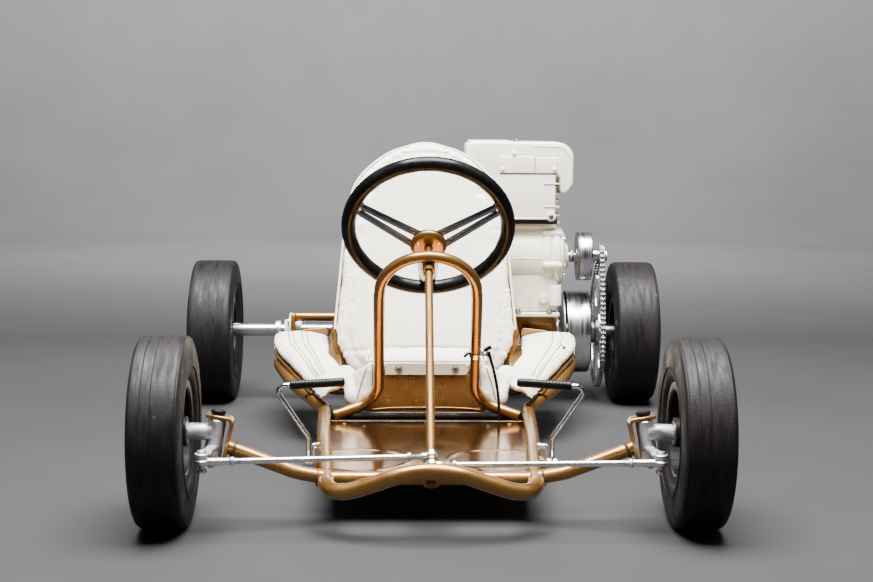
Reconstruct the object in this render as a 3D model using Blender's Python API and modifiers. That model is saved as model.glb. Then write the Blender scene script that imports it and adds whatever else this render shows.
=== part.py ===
"""A two-stroke racing kart: tube frame, bucket seat, steering linkage, engine, chain drive and wheels.

Metres, +Z up. The kart faces -Y. Positions are written with the front axle at Y = 0, and the last step
moves everything so that the middle of the kart stands on the origin.
"""

import math

import bmesh
import bpy
from mathutils import Matrix, Vector

# Running gear
WHEELBASE = 1.016
FRONT_TRACK = 0.747
REAR_TRACK = 0.840
FRONT_TYRE_R = 0.135
REAR_TYRE_R = 0.140
FRONT_TYRE_W = 0.078
REAR_TYRE_W = 0.092
RIM_SEAT_R = 0.0635
AXLE_R = 0.0127
AXLE_Z = 0.140
WHEEL_STEPS = 20

# Frame tubes
RAIL_R = 0.011
STUB_TUBE_R = 0.0098
HOOP_R = 0.0093
RAIL_Z = 0.065
RAIL_FRONT_X = 0.147
RAIL_REAR = (0.176, 0.535, 0.066)
GAP = 0.0004

# Steering
KINGPIN_TILT = Vector((0.1465, 0, 0.989)).normalized()
SHAFT_LOW = Vector((0, -0.0242, 0.0681))
SHAFT_HUB = Vector((0, 0.390, 0.362))
SHAFT_AXIS = (SHAFT_HUB - SHAFT_LOW).normalized()
SHAFT_UP = Vector((0, -SHAFT_AXIS.z, SHAFT_AXIS.y))
SHAFT_R = 0.0068
PITMAN_LENGTH = 0.045
RIM_R = 0.1315
RIM_GRIP_R = 0.012
WHEEL_DISH = 0.050
ARM_END = Vector((0.314, -0.062, 0.105))

# Drive
CHAIN_X = 0.3505
CHAIN_PITCH = 0.009525
AXLE_TEETH = 72
CLUTCH_TEETH = 12
CRANK = Vector((0, 0.964, 0.297))
DRUM_R = 0.084

# Pedals
PEDAL_PIVOT = Vector((0.172, 0.060, 0.078))

X = Vector((1, 0, 0))
Y = Vector((0, 1, 0))
Z = Vector((0, 0, 1))

for old in list(bpy.data.objects):
    bpy.data.objects.remove(old)
kart = bpy.data.collections.new("kart")
bpy.context.scene.collection.children.link(kart)

COLOURS = {
    "gold_paint": ((0.45, 0.22, 0.06, 1), 0.6, 0.35),
    "white_paint": ((0.80, 0.78, 0.70, 1), 0.0, 0.35),
    "white_vinyl": ((0.80, 0.77, 0.70, 1), 0.0, 0.5),
    "steel": ((0.55, 0.55, 0.56, 1), 1.0, 0.3),
    "chrome": ((0.75, 0.75, 0.76, 1), 1.0, 0.1),
    "cast_aluminium": ((0.50, 0.50, 0.51, 1), 1.0, 0.45),
    "tyre_rubber": ((0.02, 0.02, 0.02, 1), 0.0, 0.6),
    "black_plastic": ((0.01, 0.01, 0.01, 1), 0.0, 0.3),
}


def paint(obj, colour):
    """Gives the object a material of its own."""
    material = bpy.data.materials.new(obj.name + "_" + colour)
    material.use_nodes = True
    shader = material.node_tree.nodes["Principled BSDF"]
    base, metallic, roughness = COLOURS[colour]
    shader.inputs["Base Color"].default_value = base
    shader.inputs["Metallic"].default_value = metallic
    shader.inputs["Roughness"].default_value = roughness
    obj.data.materials.clear()
    obj.data.materials.append(material)
    return obj


def solid(name, bm):
    """A mesh object in the kart collection, closed and facing out."""
    bmesh.ops.remove_doubles(bm, verts=bm.verts, dist=1e-6)
    bmesh.ops.recalc_face_normals(bm, faces=bm.faces)
    mesh = bpy.data.meshes.new(name)
    bm.to_mesh(mesh)
    bm.free()
    obj = bpy.data.objects.new(name, mesh)
    kart.objects.link(obj)
    return obj


def bake(obj):
    """The object with its curve or its modifiers turned into a plain mesh."""
    graph = bpy.context.evaluated_depsgraph_get()
    mesh = bpy.data.meshes.new_from_object(obj.evaluated_get(graph))
    name = obj.name
    bm = bmesh.new()
    bm.from_mesh(mesh)
    bm.transform(obj.matrix_world)
    bpy.data.objects.remove(obj)
    return solid(name, bm)


def turn_to(axis, up=None):
    """The rotation that takes +Z to the axis."""
    return Vector(axis).normalized().to_track_quat("Z", "Y").to_matrix().to_4x4()


def rod(name, start, end, radius, sides=12, radius2=None):
    start, end = Vector(start), Vector(end)
    bm = bmesh.new()
    bmesh.ops.create_cone(
        bm, cap_ends=True, segments=sides, radius1=radius,
        radius2=radius if radius2 is None else radius2, depth=(end - start).length,
    )
    bm.transform(Matrix.Translation((start + end) / 2) @ turn_to(end - start))
    return solid(name, bm)


def block(name, low, high, bevel=0.0, segments=1):
    low, high = Vector(map(min, low, high)), Vector(map(max, low, high))
    bm = bmesh.new()
    bmesh.ops.create_cube(bm, size=1)
    size = high - low
    bm.transform(Matrix.Translation((low + high) / 2) @ Matrix.Diagonal((*size, 1)))
    if bevel:
        bmesh.ops.bevel(bm, geom=bm.edges[:], offset=bevel, segments=segments, affect="EDGES")
    return solid(name, bm)


def bend(corners, radius, steps=3):
    """The corner points, each inner one replaced by an arc."""
    corners = [Vector(c) for c in corners]
    path = [corners[0]]
    for before, corner, after in zip(corners, corners[1:], corners[2:]):
        into, out = (before - corner).normalized(), (after - corner).normalized()
        angle = into.angle(out)
        if angle > math.radians(176):
            path.append(corner)
            continue
        reach = min(radius / math.tan(angle / 2), 0.49 * min((before - corner).length, (after - corner).length))
        arc_r = reach * math.tan(angle / 2)
        centre = corner + (into + out).normalized() * (arc_r / math.sin(angle / 2))
        first = corner + into * reach - centre
        swing = math.pi - angle
        axis = into.cross(-out).normalized() * -1
        if (Matrix.Rotation(swing, 3, axis) @ first - (corner + out * reach - centre)).length > arc_r * 0.2:
            axis = -axis
        path += [centre + Matrix.Rotation(swing * i / steps, 3, axis) @ first for i in range(steps + 1)]
    return path + [corners[-1]]


def tube(name, path, radius, sides=12):
    """A round tube along the points, its ends capped."""
    curve = bpy.data.curves.new(name, "CURVE")
    curve.dimensions = "3D"
    curve.bevel_depth = radius
    curve.bevel_resolution = sides // 2 - 2
    curve.use_fill_caps = True
    spline = curve.splines.new("POLY")
    spline.points.add(len(path) - 1)
    for point, place in zip(spline.points, path):
        point.co = (*place, 1)
    obj = bpy.data.objects.new(name, curve)
    kart.objects.link(obj)
    return bake(obj)


def plate(name, outline, thickness, matrix):
    """A flat plate: the outline in the plate's own x, y, set in place by the matrix."""
    bm = bmesh.new()
    face = bm.faces.new([bm.verts.new((x, y, -thickness / 2)) for x, y in outline])
    grown = bmesh.ops.extrude_face_region(bm, geom=[face])
    top = [v for v in grown["geom"] if isinstance(v, bmesh.types.BMVert)]
    bmesh.ops.translate(bm, verts=top, vec=(0, 0, thickness))
    bm.transform(matrix)
    return solid(name, bm)


def turned(name, profile, centre, axis, steps=24, ring=True, phase=0.5):
    """A turned part. The profile is (radius, place along the axis), a closed ring or ending on the axis."""
    bm = bmesh.new()
    points = [bm.verts.new((r, 0, h)) for r, h in profile]
    for a, b in zip(points, points[1:]):
        bm.edges.new((a, b))
    if ring:
        bm.edges.new((points[-1], points[0]))
    bm.transform(Matrix.Rotation(2 * math.pi * phase / steps, 4, "Z"))
    mesh = bpy.data.meshes.new(name)
    bm.to_mesh(mesh)
    bm.free()
    obj = bpy.data.objects.new(name, mesh)
    kart.objects.link(obj)
    screw = obj.modifiers.new("turn", "SCREW")
    screw.steps = steps
    screw.render_steps = steps
    screw.use_merge_vertices = True
    screw.merge_threshold = 1e-5
    obj.matrix_world = Matrix.Translation(centre) @ turn_to(axis)
    bpy.context.view_layer.update()
    return bake(obj)


def boolean(obj, others, operation):
    for other in others:
        change = obj.modifiers.new(operation, "BOOLEAN")
        change.operation = operation
        change.solver = "EXACT"
        change.object = other
    bpy.context.view_layer.update()
    name = obj.name
    result = bake(obj)
    for other in others:
        bpy.data.objects.remove(other)
    bm = bmesh.new()
    bm.from_mesh(result.data)
    bmesh.ops.remove_doubles(bm, verts=bm.verts, dist=2e-5)
    bmesh.ops.dissolve_degenerate(bm, edges=bm.edges, dist=1e-5)
    bm.to_mesh(result.data)
    bm.free()
    result.name = name
    return result


def union(first, *others):
    return boolean(first, others, "UNION")


def cut(first, *others):
    return boolean(first, others, "DIFFERENCE")


def origin_at(obj, point):
    obj.data.transform(Matrix.Translation(-Vector(point)))
    obj.matrix_world = Matrix.Translation(point)
    return obj


def mirrored(point, side):
    return Vector((point[0] * side, point[1], point[2]))


def sheet(name, columns, rows, place, thickness):
    """A formed sheet: place(u, v) gives the middle point for u and v from 0 to 1."""
    bm = bmesh.new()
    bmesh.ops.create_grid(bm, x_segments=columns, y_segments=rows, size=0.5)
    for vert in bm.verts:
        vert.co = place(vert.co.x + 0.5, vert.co.y + 0.5)
    mesh = bpy.data.meshes.new(name)
    bm.to_mesh(mesh)
    bm.free()
    obj = bpy.data.objects.new(name, mesh)
    kart.objects.link(obj)
    thick = obj.modifiers.new("thickness", "SOLIDIFY")
    thick.thickness = thickness
    thick.offset = 0
    thick.use_even_offset = True
    bpy.context.view_layer.update()
    return bake(obj)


def along(table, t):
    """A point on the polyline of the table at t from 0 to 1."""
    place = t * (len(table) - 1)
    i = min(int(place), len(table) - 2)
    return Vector(table[i]).lerp(Vector(table[i + 1]), place - i)


SIDES = (("left", 1), ("right", -1))


# Frame: rails, cross tubes, side tubes, stub-axle tubes and kingpin yokes, all welded together
def frame_half(side):
    def at(x, y, z):
        return Vector((x * side, y, z))

    rail = tube("rail", [at(RAIL_FRONT_X, 0.002, RAIL_Z), at(0.166, 0.30, RAIL_Z), at(*RAIL_REAR)], RAIL_R, 10)
    side_tube = tube("side", bend([
        at(RAIL_REAR[0] - 0.002, RAIL_REAR[1] - 0.004, RAIL_REAR[2]), at(0.236, 0.610, 0.098),
        at(0.270, 0.72, 0.118), at(0.262, 0.90, 0.116), at(0.250, 0.985, 0.118),
    ], 0.12, 2), RAIL_R, 10)
    stub = tube("stub", bend([
        at(RAIL_FRONT_X - 0.002, 0.014, 0.066), at(0.190, 0.006, 0.0755), at(0.2865, 0, 0.1135),
    ], 0.12, 2), STUB_TUBE_R, 10)
    centre = at(0.303, 0, 0.126)
    tilt = mirrored(KINGPIN_TILT, -side)
    out = Vector((tilt.z, 0, -tilt.x)) * side
    turn = Matrix((
        (out.x, tilt.x, 0, centre.x), (out.y, tilt.y, 1, centre.y), (out.z, tilt.z, 0, centre.z), (0, 0, 0, 1),
    ))
    yoke = plate("yoke", [
        (-0.0195, -0.0335), (0.016, -0.0335), (0.016, -0.0285), (-0.0145, -0.0285),
        (-0.0190, 0.0285), (0.016, 0.0285), (0.016, 0.0335), (-0.0240, 0.0335),
    ], 0.024, turn)
    hole = rod("hole", centre - tilt * 0.05, centre + tilt * 0.05, 0.0056, 10)
    half = union(rail, side_tube, stub, yoke)
    return cut(half, hole)


front_cross = rod("front_cross", (-0.147, 0.015, RAIL_Z), (0.147, 0.015, RAIL_Z), 0.0100, 10)
middle_cross = rod("middle_cross", (-0.172, 0.518, 0.0585), (0.172, 0.518, 0.0585), 0.0065, 10)
seat_cross = tube("seat_cross", bend([
    (-0.266, 0.820, 0.116), (-0.180, 0.820, 0.050), (0.180, 0.820, 0.050), (0.266, 0.820, 0.116),
], 0.04, 2), 0.0085, 8)
rear_cross = rod("rear_cross", (-0.262, 0.985, 0.1705), (0.262, 0.985, 0.1705), 0.0090, 10)
column_lug = plate(
    "column_lug", [(-0.016, -0.024), (0.016, -0.024), (0.012, 0.012), (-0.012, 0.012)], 0.008,
    Matrix.Translation(SHAFT_LOW + SHAFT_AXIS * 0.030) @ Matrix((
        (1, SHAFT_UP.x, SHAFT_AXIS.x, 0), (0, SHAFT_UP.y, SHAFT_AXIS.y, 0),
        (0, SHAFT_UP.z, SHAFT_AXIS.z, 0), (0, 0, 0, 1),
    )),
)
frame = union(frame_half(1), frame_half(-1), front_cross, middle_cross, seat_cross, rear_cross, column_lug)
for side in (1, -1):
    # Bearing hanger plate: side tube and rear cross tube carry the axle bearing
    hanger = block(
        "hanger", (0.2565 * side, 0.968, 0.112), (0.2655 * side, 1.052, 0.176),
    )
    frame = union(frame, hanger)
    frame = cut(frame, rod("bore", (0.24 * side, WHEELBASE, AXLE_Z), (0.29 * side, WHEELBASE, AXLE_Z), 0.0215, 16))
    pin_lug = block(
        "pin_lug", mirrored((0.157, 0.050, 0.0665), side), mirrored((0.1655, 0.070, 0.086), side),
    )
    frame = union(frame, pin_lug)
    frame = union(frame, rod(
        "pedal_pin", mirrored((0.160, PEDAL_PIVOT.y, PEDAL_PIVOT.z), side),
        mirrored((0.1825, PEDAL_PIVOT.y, PEDAL_PIVOT.z), side), 0.0035, 10,
    ))
frame = cut(frame, rod("column_hole", SHAFT_LOW, SHAFT_LOW + SHAFT_AXIS * 0.09, SHAFT_R + 0.0008, 16))
frame.name = "main_frame"
paint(frame, "gold_paint")

bumper_half = [
    (0.147, -0.0105, 0.0665), (0.145, -0.036, 0.067), (0.134, -0.058, 0.064), (0.112, -0.070, 0.067),
    (0.078, -0.078, 0.079), (0.040, -0.084, 0.0925), (0, -0.086, 0.0980),
]
bumper = tube("front_bumper", bumper_half + [(-x, y, z) for x, y, z in bumper_half[-2::-1]], RAIL_R)
paint(bumper, "gold_paint")

# Steering hoop, at right angles to the shaft, with the upper column bush under its crown
HOOP_TOP = SHAFT_LOW + SHAFT_AXIS * 0.4625 + SHAFT_UP * 0.0185


def on_hoop(x, down):
    return HOOP_TOP + X * x - SHAFT_UP * down


hoop_half = [on_hoop(0.079 * math.cos(a), 0.076 - 0.076 * math.sin(a))
             for a in [math.radians(d) for d in range(0, 90, 15)]]
hoop_foot = bend([on_hoop(0.0805, 0.11), on_hoop(0.082, 0.322), (0.1600, 0.5335, 0.0695)], 0.055, 4)
hoop_side = hoop_foot[::-1] + hoop_half
hoop = tube("steering_hoop", hoop_side + [HOOP_TOP] + [(-x, y, z) for x, y, z in hoop_side[::-1]], HOOP_R, 10)
bush = rod("bush", SHAFT_LOW + SHAFT_AXIS * 0.444, SHAFT_LOW + SHAFT_AXIS * 0.481, 0.0105, 12)
hoop = union(hoop, bush)
hoop = cut(hoop, rod("bush_hole", SHAFT_LOW + SHAFT_AXIS * 0.4, SHAFT_LOW + SHAFT_AXIS * 0.52, SHAFT_R + 0.0006, 16))
paint(hoop, "gold_paint")

floor = plate("floor_pan", [
    (-0.158, 0.030), (0.158, 0.030), (0.182, 0.500), (-0.182, 0.500),
], 0.002, Matrix.Translation((0, 0, 0.0525)))
floor = cut(floor, *[tube("rail_clear", [
    mirrored((RAIL_FRONT_X, -0.02, RAIL_Z), s), mirrored((0.166, 0.30, RAIL_Z), s), mirrored(RAIL_REAR, s),
], RAIL_R + GAP) for s in (1, -1)])
paint(floor, "gold_paint")

# Seat: a folded base under the cushion, formed side wings and a curved back
base = block("seat_base", (-0.106, 0.542, 0.0620), (0.106, 0.732, 0.128), 0.003)
base = cut(base, block("hollow", (-0.1035, 0.5445, 0.05), (0.1035, 0.7295, 0.1255)))
paint(base, "gold_paint")
cushion = block("seat_cushion", (-0.108, 0.544, 0.1285), (0.108, 0.7345, 0.169), 0.012, 2)
paint(cushion, "white_vinyl")
strip = block("seat_front_strip", (-0.072, 0.5385, 0.1270), (0.072, 0.5415, 0.1480), 0.0008)
strip = union(strip, *[rod("bolt", (x, 0.5350, 0.1375), (x, 0.5400, 0.1375), 0.0050, 8) for x in (-0.048, 0.050)])
paint(strip, "white_paint")

BACK_OUTLINE = [(0.124, 0.100), (0.150, 0.132), (0.165, 0.165), (0.166, 0.200), (0.160, 0.270), (0.154, 0.340),
                (0.143, 0.420), (0.134, 0.455), (0.112, 0.482), (0.076, 0.505), (0.034, 0.519)]


def back_point(u, v, wider, behind):
    """A point of the seat back: u across, v up, wider at the edge and behind the front surface."""
    w, z = along([(a, b, 0) for a, b in BACK_OUTLINE], v).xy
    across = 2 * u - 1
    y = 0.772 + (z - 0.10) * 0.235 - 0.034 * across * across * min(1, w / 0.15) + behind
    return Vector((across * (w + wider), y, z + wider * (v - 0.3)))


back_cushion = sheet("seat_back_cushion", 6, 10, lambda u, v: back_point(u, v, 0.0, 0.014), 0.028)
paint(back_cushion, "white_vinyl")
back_shell = sheet("seat_back_shell", 6, 10, lambda u, v: back_point(u, v, 0.006, 0.0320), 0.003)
paint(back_shell, "gold_paint")

OUTER = [(0.2020, 0.556, 0.0920), (0.241, 0.636, 0.1165), (0.270, 0.710, 0.1310), (0.282, 0.790, 0.1345),
         (0.284, 0.870, 0.1360)]
INNER = [(0.1600, 0.556, 0.1020), (0.1670, 0.636, 0.1150), (0.1765, 0.710, 0.1220), (0.184, 0.790, 0.1280),
         (0.192, 0.870, 0.1320)]
for name, side in SIDES:
    def on_wing(u, v, lift=0.0, crown=0.0, inset=0.0, side=side):
        a, b = along(OUTER, v), along(INNER, v)
        point = a.lerp(b, inset + u * (1 - 2 * inset))
        return mirrored(point + Z * (lift + crown * math.sin(math.pi * u)), side)

    wing = sheet("side_wing_" + name, 3, 4, on_wing, 0.0022)
    wall = plate("wall", [(0.186, 0.128), (0.252, 0.130), (0.236, 0.160), (0.187, 0.165)], 0.0022, Matrix((
        (side, 0, 0, 0), (0, 0, 1, 0.869), (0, 1, 0, 0), (0, 0, 0, 1),
    )))
    wing = union(wing, wall)
    paint(wing, "gold_paint")
    pad = sheet("wing_pad_" + name, 5, 6, lambda u, v, w=on_wing: w(0.02 + u * 1.12, v * 0.94, 0.0135, 0.006), 0.020)
    roll = tube("roll", [mirrored(p, side) for p in (
        (0.1280, 0.548, 0.095), (0.1300, 0.560, 0.100), (0.1360, 0.590, 0.111), (0.146, 0.650, 0.120),
        (0.154, 0.705, 0.1255),
    )], 0.0205, 10)
    pad = union(pad, roll)
    paint(pad, "white_vinyl")

# Steering column
shaft = rod("steering_shaft", SHAFT_LOW - SHAFT_AXIS * 0.006, SHAFT_HUB + SHAFT_AXIS * 0.012, SHAFT_R, 14)
pitman = plate("pitman", [
    (-0.013, -0.010), (0.013, -0.010), (0.009, PITMAN_LENGTH + 0.007), (-0.009, PITMAN_LENGTH + 0.007),
], 0.005, Matrix.Translation(SHAFT_LOW) @ Matrix((
    (1, SHAFT_UP.x, SHAFT_AXIS.x, 0), (0, SHAFT_UP.y, SHAFT_AXIS.y, 0), (0, SHAFT_UP.z, SHAFT_AXIS.z, 0), (0, 0, 0, 1),
)))
PITMAN_END = SHAFT_LOW + SHAFT_UP * PITMAN_LENGTH
bolt = rod("bolt", PITMAN_END - SHAFT_AXIS * 0.0165, PITMAN_END + SHAFT_AXIS * 0.0165, 0.0035, 10)
nuts = [rod("nut", PITMAN_END + SHAFT_AXIS * a, PITMAN_END + SHAFT_AXIS * b, 0.0068, 6)
        for a, b in ((-0.0170, -0.0135), (0.0135, 0.0170))]
shaft = union(shaft, pitman, bolt, *nuts)
paint(origin_at(shaft, SHAFT_LOW), "gold_paint")

hub = turned("steering_hub", [
    (0, -0.0030), (0.024, -0.0030), (0.030, 0.0020), (0.030, 0.0055), (0.010, 0.0055), (0.010, 0.0190), (0, 0.0190),
], SHAFT_HUB, SHAFT_AXIS, 16, ring=False)
hub = cut(hub, rod("hole", SHAFT_HUB - SHAFT_AXIS * 0.02, SHAFT_HUB + SHAFT_AXIS * 0.03, SHAFT_R + GAP, 14))
hub = union(hub, *[
    rod("rivet", SHAFT_HUB + c - SHAFT_AXIS * 0.0070, SHAFT_HUB + c + SHAFT_AXIS * 0.001, 0.0022, 6)
    for c in [(X * math.cos(a) + SHAFT_UP * math.sin(a)) * 0.019 for a in (0.52, 2.62, 4.71)]
])
paint(origin_at(hub, SHAFT_LOW), "gold_paint")
spoke_parts = []
for angle in (20, 160, 270):
    a = math.radians(angle)
    radial = X * math.cos(a) + SHAFT_UP * math.sin(a)
    across = SHAFT_AXIS.cross(radial)
    for s in (-1, 1):
        inner = SHAFT_HUB + SHAFT_AXIS * 0.0085 + radial * 0.020 + across * 0.0125 * s
        outer = SHAFT_HUB + SHAFT_AXIS * WHEEL_DISH + radial * (RIM_R - 0.004) + across * 0.0060 * s
        way = (outer - inner).normalized()
        face = way.cross(across).normalized()
        wide = face.cross(way)
        turn = Matrix((
            (way.x, wide.x, face.x, inner.x), (way.y, wide.y, face.y, inner.y), (way.z, wide.z, face.z, inner.z),
            (0, 0, 0, 1),
        ))
        length = (outer - inner).length
        spoke_parts.append(plate(
            "spoke", [(-0.004, -0.0035), (length, -0.0035), (length, 0.0035), (-0.004, 0.0035)], 0.0026, turn,
        ))
ring = turned("steering_spokes", [(0.0112, 0.0060), (0.0285, 0.0060), (0.0285, 0.0110), (0.0112, 0.0110)],
              SHAFT_HUB, SHAFT_AXIS, 16)
spokes = union(ring, *spoke_parts)
RIM_CENTRE = SHAFT_HUB + SHAFT_AXIS * WHEEL_DISH
paint(origin_at(spokes, SHAFT_LOW), "chrome")
grip_section = [(RIM_R + RIM_GRIP_R * math.cos(math.radians(d)), RIM_GRIP_R * math.sin(math.radians(d)))
                for d in range(0, 360, 45)]
rim = turned("steering_rim", grip_section, RIM_CENTRE, SHAFT_AXIS, 28)
spoke_room = []
for angle in (20, 160, 270):
    a = math.radians(angle)
    radial = X * math.cos(a) + SHAFT_UP * math.sin(a)
    across = SHAFT_AXIS.cross(radial)
    inner = SHAFT_HUB + SHAFT_AXIS * 0.0085 + radial * 0.020
    outer = SHAFT_HUB + SHAFT_AXIS * WHEEL_DISH + radial * (RIM_R - 0.0035)
    way = (outer - inner).normalized()
    face = way.cross(across).normalized()
    turn = Matrix((
        (way.x, across.x, face.x, inner.x), (way.y, across.y, face.y, inner.y), (way.z, across.z, face.z, inner.z),
        (0, 0, 0, 1),
    ))
    length = (outer - inner).length
    spoke_room.append(plate(
        "room", [(0.02, -0.0115), (length + 0.0005, -0.0115), (length + 0.0005, 0.0115), (0.02, 0.0115)], 0.0045, turn,
    ))
rim = cut(rim, *spoke_room)
paint(origin_at(rim, SHAFT_LOW), "black_plastic")

# Tie rods: a ring at each end, the right-hand rod below the left-hand one at the pitman arm
for name, side in SIDES:
    ring_centre = PITMAN_END - SHAFT_AXIS * 0.0080 * side
    end = mirrored(ARM_END, side)
    way = (end - ring_centre).normalized()
    body = rod("tie_rod_" + name, ring_centre + way * 0.0120, end - way * 0.0150, 0.0038, 10)
    ends = [rod("shank", ring_centre + way * 0.0070, ring_centre + way * 0.030, 0.0042, 10),
            rod("shank", end - way * 0.0395, end - way * 0.0072, 0.0046, 8),
            rod("jam", ring_centre + way * 0.0285, ring_centre + way * 0.0340, 0.0068, 6),
            rod("jam", end - way * 0.044, end - way * 0.038, 0.0068, 6),
            rod("ring", ring_centre - SHAFT_AXIS * 0.0040, ring_centre + SHAFT_AXIS * 0.0040, 0.0090, 14),
            rod("ring", end - Z * 0.0035, end + Z * 0.0035, 0.0105, 14)]
    body = union(body, *ends)
    body = cut(body, rod("hole", ring_centre - SHAFT_AXIS * 0.01, ring_centre + SHAFT_AXIS * 0.01, 0.0042, 12),
               rod("hole", end - Z * 0.02, end + Z * 0.02, 0.0050, 12))
    paint(origin_at(body, PITMAN_END), "steel")

# Front spindles, kingpins and wheels
for name, side in SIDES:
    tilt = mirrored(KINGPIN_TILT, -side)
    knuckle = mirrored((0.303, 0, 0.126), side)
    stub_z = FRONT_TYRE_R
    wheel_x = FRONT_TRACK / 2 * side
    spindle = rod("spindle_" + name, knuckle - tilt * 0.0275, knuckle + tilt * 0.0275, 0.0115, 14)
    parts = [
        rod("collar", (0.304 * side, 0, stub_z), (0.3405 * side, 0, stub_z), 0.0120, 14),
        rod("stub", (0.33 * side, 0, stub_z), (0.4135 * side, 0, stub_z), 0.0078, 12),
        rod("nut", (0.4065 * side, 0, stub_z), (0.4140 * side, 0, stub_z), 0.0125, 6),
        plate("arm", [(0.297, 0.006), (0.3135, 0.006), (0.3250, -0.052), (0.3225, -0.071), (0.3060, -0.071),
                      (0.3020, -0.052)] if side > 0 else
              [(-0.3135, 0.006), (-0.297, 0.006), (-0.3020, -0.052), (-0.3060, -0.071), (-0.3225, -0.071),
               (-0.3250, -0.052)], 0.0060, Matrix.Translation((0, 0, 0.1135))),
        rod("bolt", mirrored(ARM_END, side) + Z * 0.010, mirrored(ARM_END, side) - Z * 0.0155, 0.0038, 10),
        rod("nut", mirrored(ARM_END, side) - Z * 0.0100, mirrored(ARM_END, side) - Z * 0.0155, 0.0070, 6),
        rod("head", mirrored(ARM_END, side) + Z * 0.011, mirrored(ARM_END, side) + Z * 0.0145, 0.0068, 6),
    ]
    spindle = union(spindle, *parts)
    spindle = cut(spindle, rod("bore", knuckle - tilt * 0.05, knuckle + tilt * 0.05, 0.0056, 12))
    paint(origin_at(spindle, knuckle), "cast_aluminium")
    pin = rod("kingpin_" + name, knuckle - tilt * 0.0405, knuckle + tilt * 0.0355, 0.0048, 12)
    pin = union(pin, rod("head", knuckle + tilt * 0.0341, knuckle + tilt * 0.0405, 0.0085, 6),
                rod("nut", knuckle - tilt * 0.0341, knuckle - tilt * 0.0400, 0.0085, 6))
    paint(pin, "steel")


def wheel_and_tyre(name, centre, side, tyre_r, tyre_w, bore, rear):
    # A flat of the faceted tread, not an edge, stands on the ground
    tyre_r /= math.cos(math.pi / WHEEL_STEPS)
    h = tyre_w / 2
    seat = h * 0.72
    tyre = turned("tyre_" + name, [
        (tyre_r, -h * 0.50), (tyre_r, h * 0.50), (tyre_r - 0.0050, h * 0.80), (tyre_r - 0.018, h * 0.97),
        (tyre_r - 0.038, h), (RIM_SEAT_R + 0.0120, seat), (RIM_SEAT_R + 0.0008, seat - 0.002),
        (RIM_SEAT_R + 0.0008, seat - 0.010), (tyre_r - 0.030, h - 0.008), (tyre_r - 0.010, h * 0.55),
        (tyre_r - 0.010, -h * 0.55), (tyre_r - 0.030, -h + 0.008), (RIM_SEAT_R + 0.0008, -seat + 0.010),
        (RIM_SEAT_R + 0.0008, -seat + 0.002), (RIM_SEAT_R + 0.0120, -seat), (tyre_r - 0.038, -h),
        (tyre_r - 0.018, -h * 0.97), (tyre_r - 0.0050, -h * 0.80),
    ], centre, X, WHEEL_STEPS)
    paint(origin_at(tyre, centre), "tyre_rubber")
    hub_in, hub_out = (-0.0325, 0.0315) if not rear else (-0.030, 0.030)
    web = 0.006
    rim = turned("wheel_" + name, [
        (bore, hub_in), (0.021, hub_in), (0.021, web - 0.0025), (0.0590, web - 0.0025), (0.0590, -seat - 0.0035),
        (0.0725, -seat - 0.0035), (0.0725, -seat - 0.0008), (RIM_SEAT_R, -seat - 0.0004),
        (RIM_SEAT_R, seat + 0.0004), (0.0725, seat + 0.0008), (0.0725, seat + 0.0035), (0.0590, seat + 0.0035),
        (0.0590, web + 0.0025), (0.021, web + 0.0025), (0.021, hub_out), (bore, hub_out),
    ], centre, X * side, WHEEL_STEPS)
    paint(origin_at(rim, centre), "cast_aluminium")


for name, side in SIDES:
    wheel_and_tyre("front_" + name, Vector((FRONT_TRACK / 2 * side, 0, FRONT_TYRE_R)), side,
                   FRONT_TYRE_R, FRONT_TYRE_W, 0.0088, False)
    wheel_and_tyre("rear_" + name, Vector((REAR_TRACK / 2 * side, WHEELBASE, REAR_TYRE_R)), side,
                   REAR_TYRE_R, REAR_TYRE_W, AXLE_R + 0.0006, True)

# Rear axle, turning in two flanged bearings bolted to the hanger plates
AXLE = Vector((0, WHEELBASE, AXLE_Z))
axle = rod("rear_axle", AXLE - X * 0.463, AXLE + X * 0.463, AXLE_R, 16)
axle = union(axle, *[turned("collar", [
    (AXLE_R - 0.002, 0), (0.0195, 0), (0.0195, 0.010), (AXLE_R - 0.002, 0.010),
], AXLE + X * x, X, 16) for x in (-0.2980, 0.2330)])
paint(origin_at(axle, AXLE), "steel")
for name, side in SIDES:
    inner = 0.2400
    profile = [
        (AXLE_R + 0.0006, inner + 0.0060), (0.0185, inner + 0.0060), (0.0205, inner + 0.0100),
        (0.0205, 0.2660), (0.0345, 0.2660), (0.0345, 0.2700), (0.0220, 0.2700), (0.0200, 0.2800),
        (AXLE_R + 0.0006, 0.2800),
    ]
    if side > 0:
        # The brake's backing plate is cast in one with the right-hand carrier
        profile = profile[:6] + [(0.0300, 0.2700), (0.0300, 0.2770), (0.0800, 0.2770), (0.0800, 0.2800)] + profile[8:]
    bearing = turned("rear_bearing_" + name, profile, Vector((0, WHEELBASE, AXLE_Z)), X * side, 20)
    bearing = union(bearing, *[rod("head", AXLE + mirrored((0.2695, math.cos(a) * 0.0275, math.sin(a) * 0.0275), side),
                                   AXLE + mirrored((0.2740, math.cos(a) * 0.0275, math.sin(a) * 0.0275), side),
                                   0.0055, 6) for a in [math.radians(d) for d in (45, 135, 225, 315)]])
    paint(bearing, "cast_aluminium")

drum = turned("brake_drum", [
    (AXLE_R + 0.0006, 0.2850), (0.0200, 0.2850), (0.0200, 0.3270), (0.0800, 0.3270), (0.0800, 0.2840),
    (DRUM_R, 0.2840), (DRUM_R, 0.3300), (0.0780, 0.3320), (0.0240, 0.3320), (0.0240, 0.3450),
    (AXLE_R + 0.0006, 0.3450),
], AXLE, X, 22)
paint(origin_at(drum, AXLE), "chrome")


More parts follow.
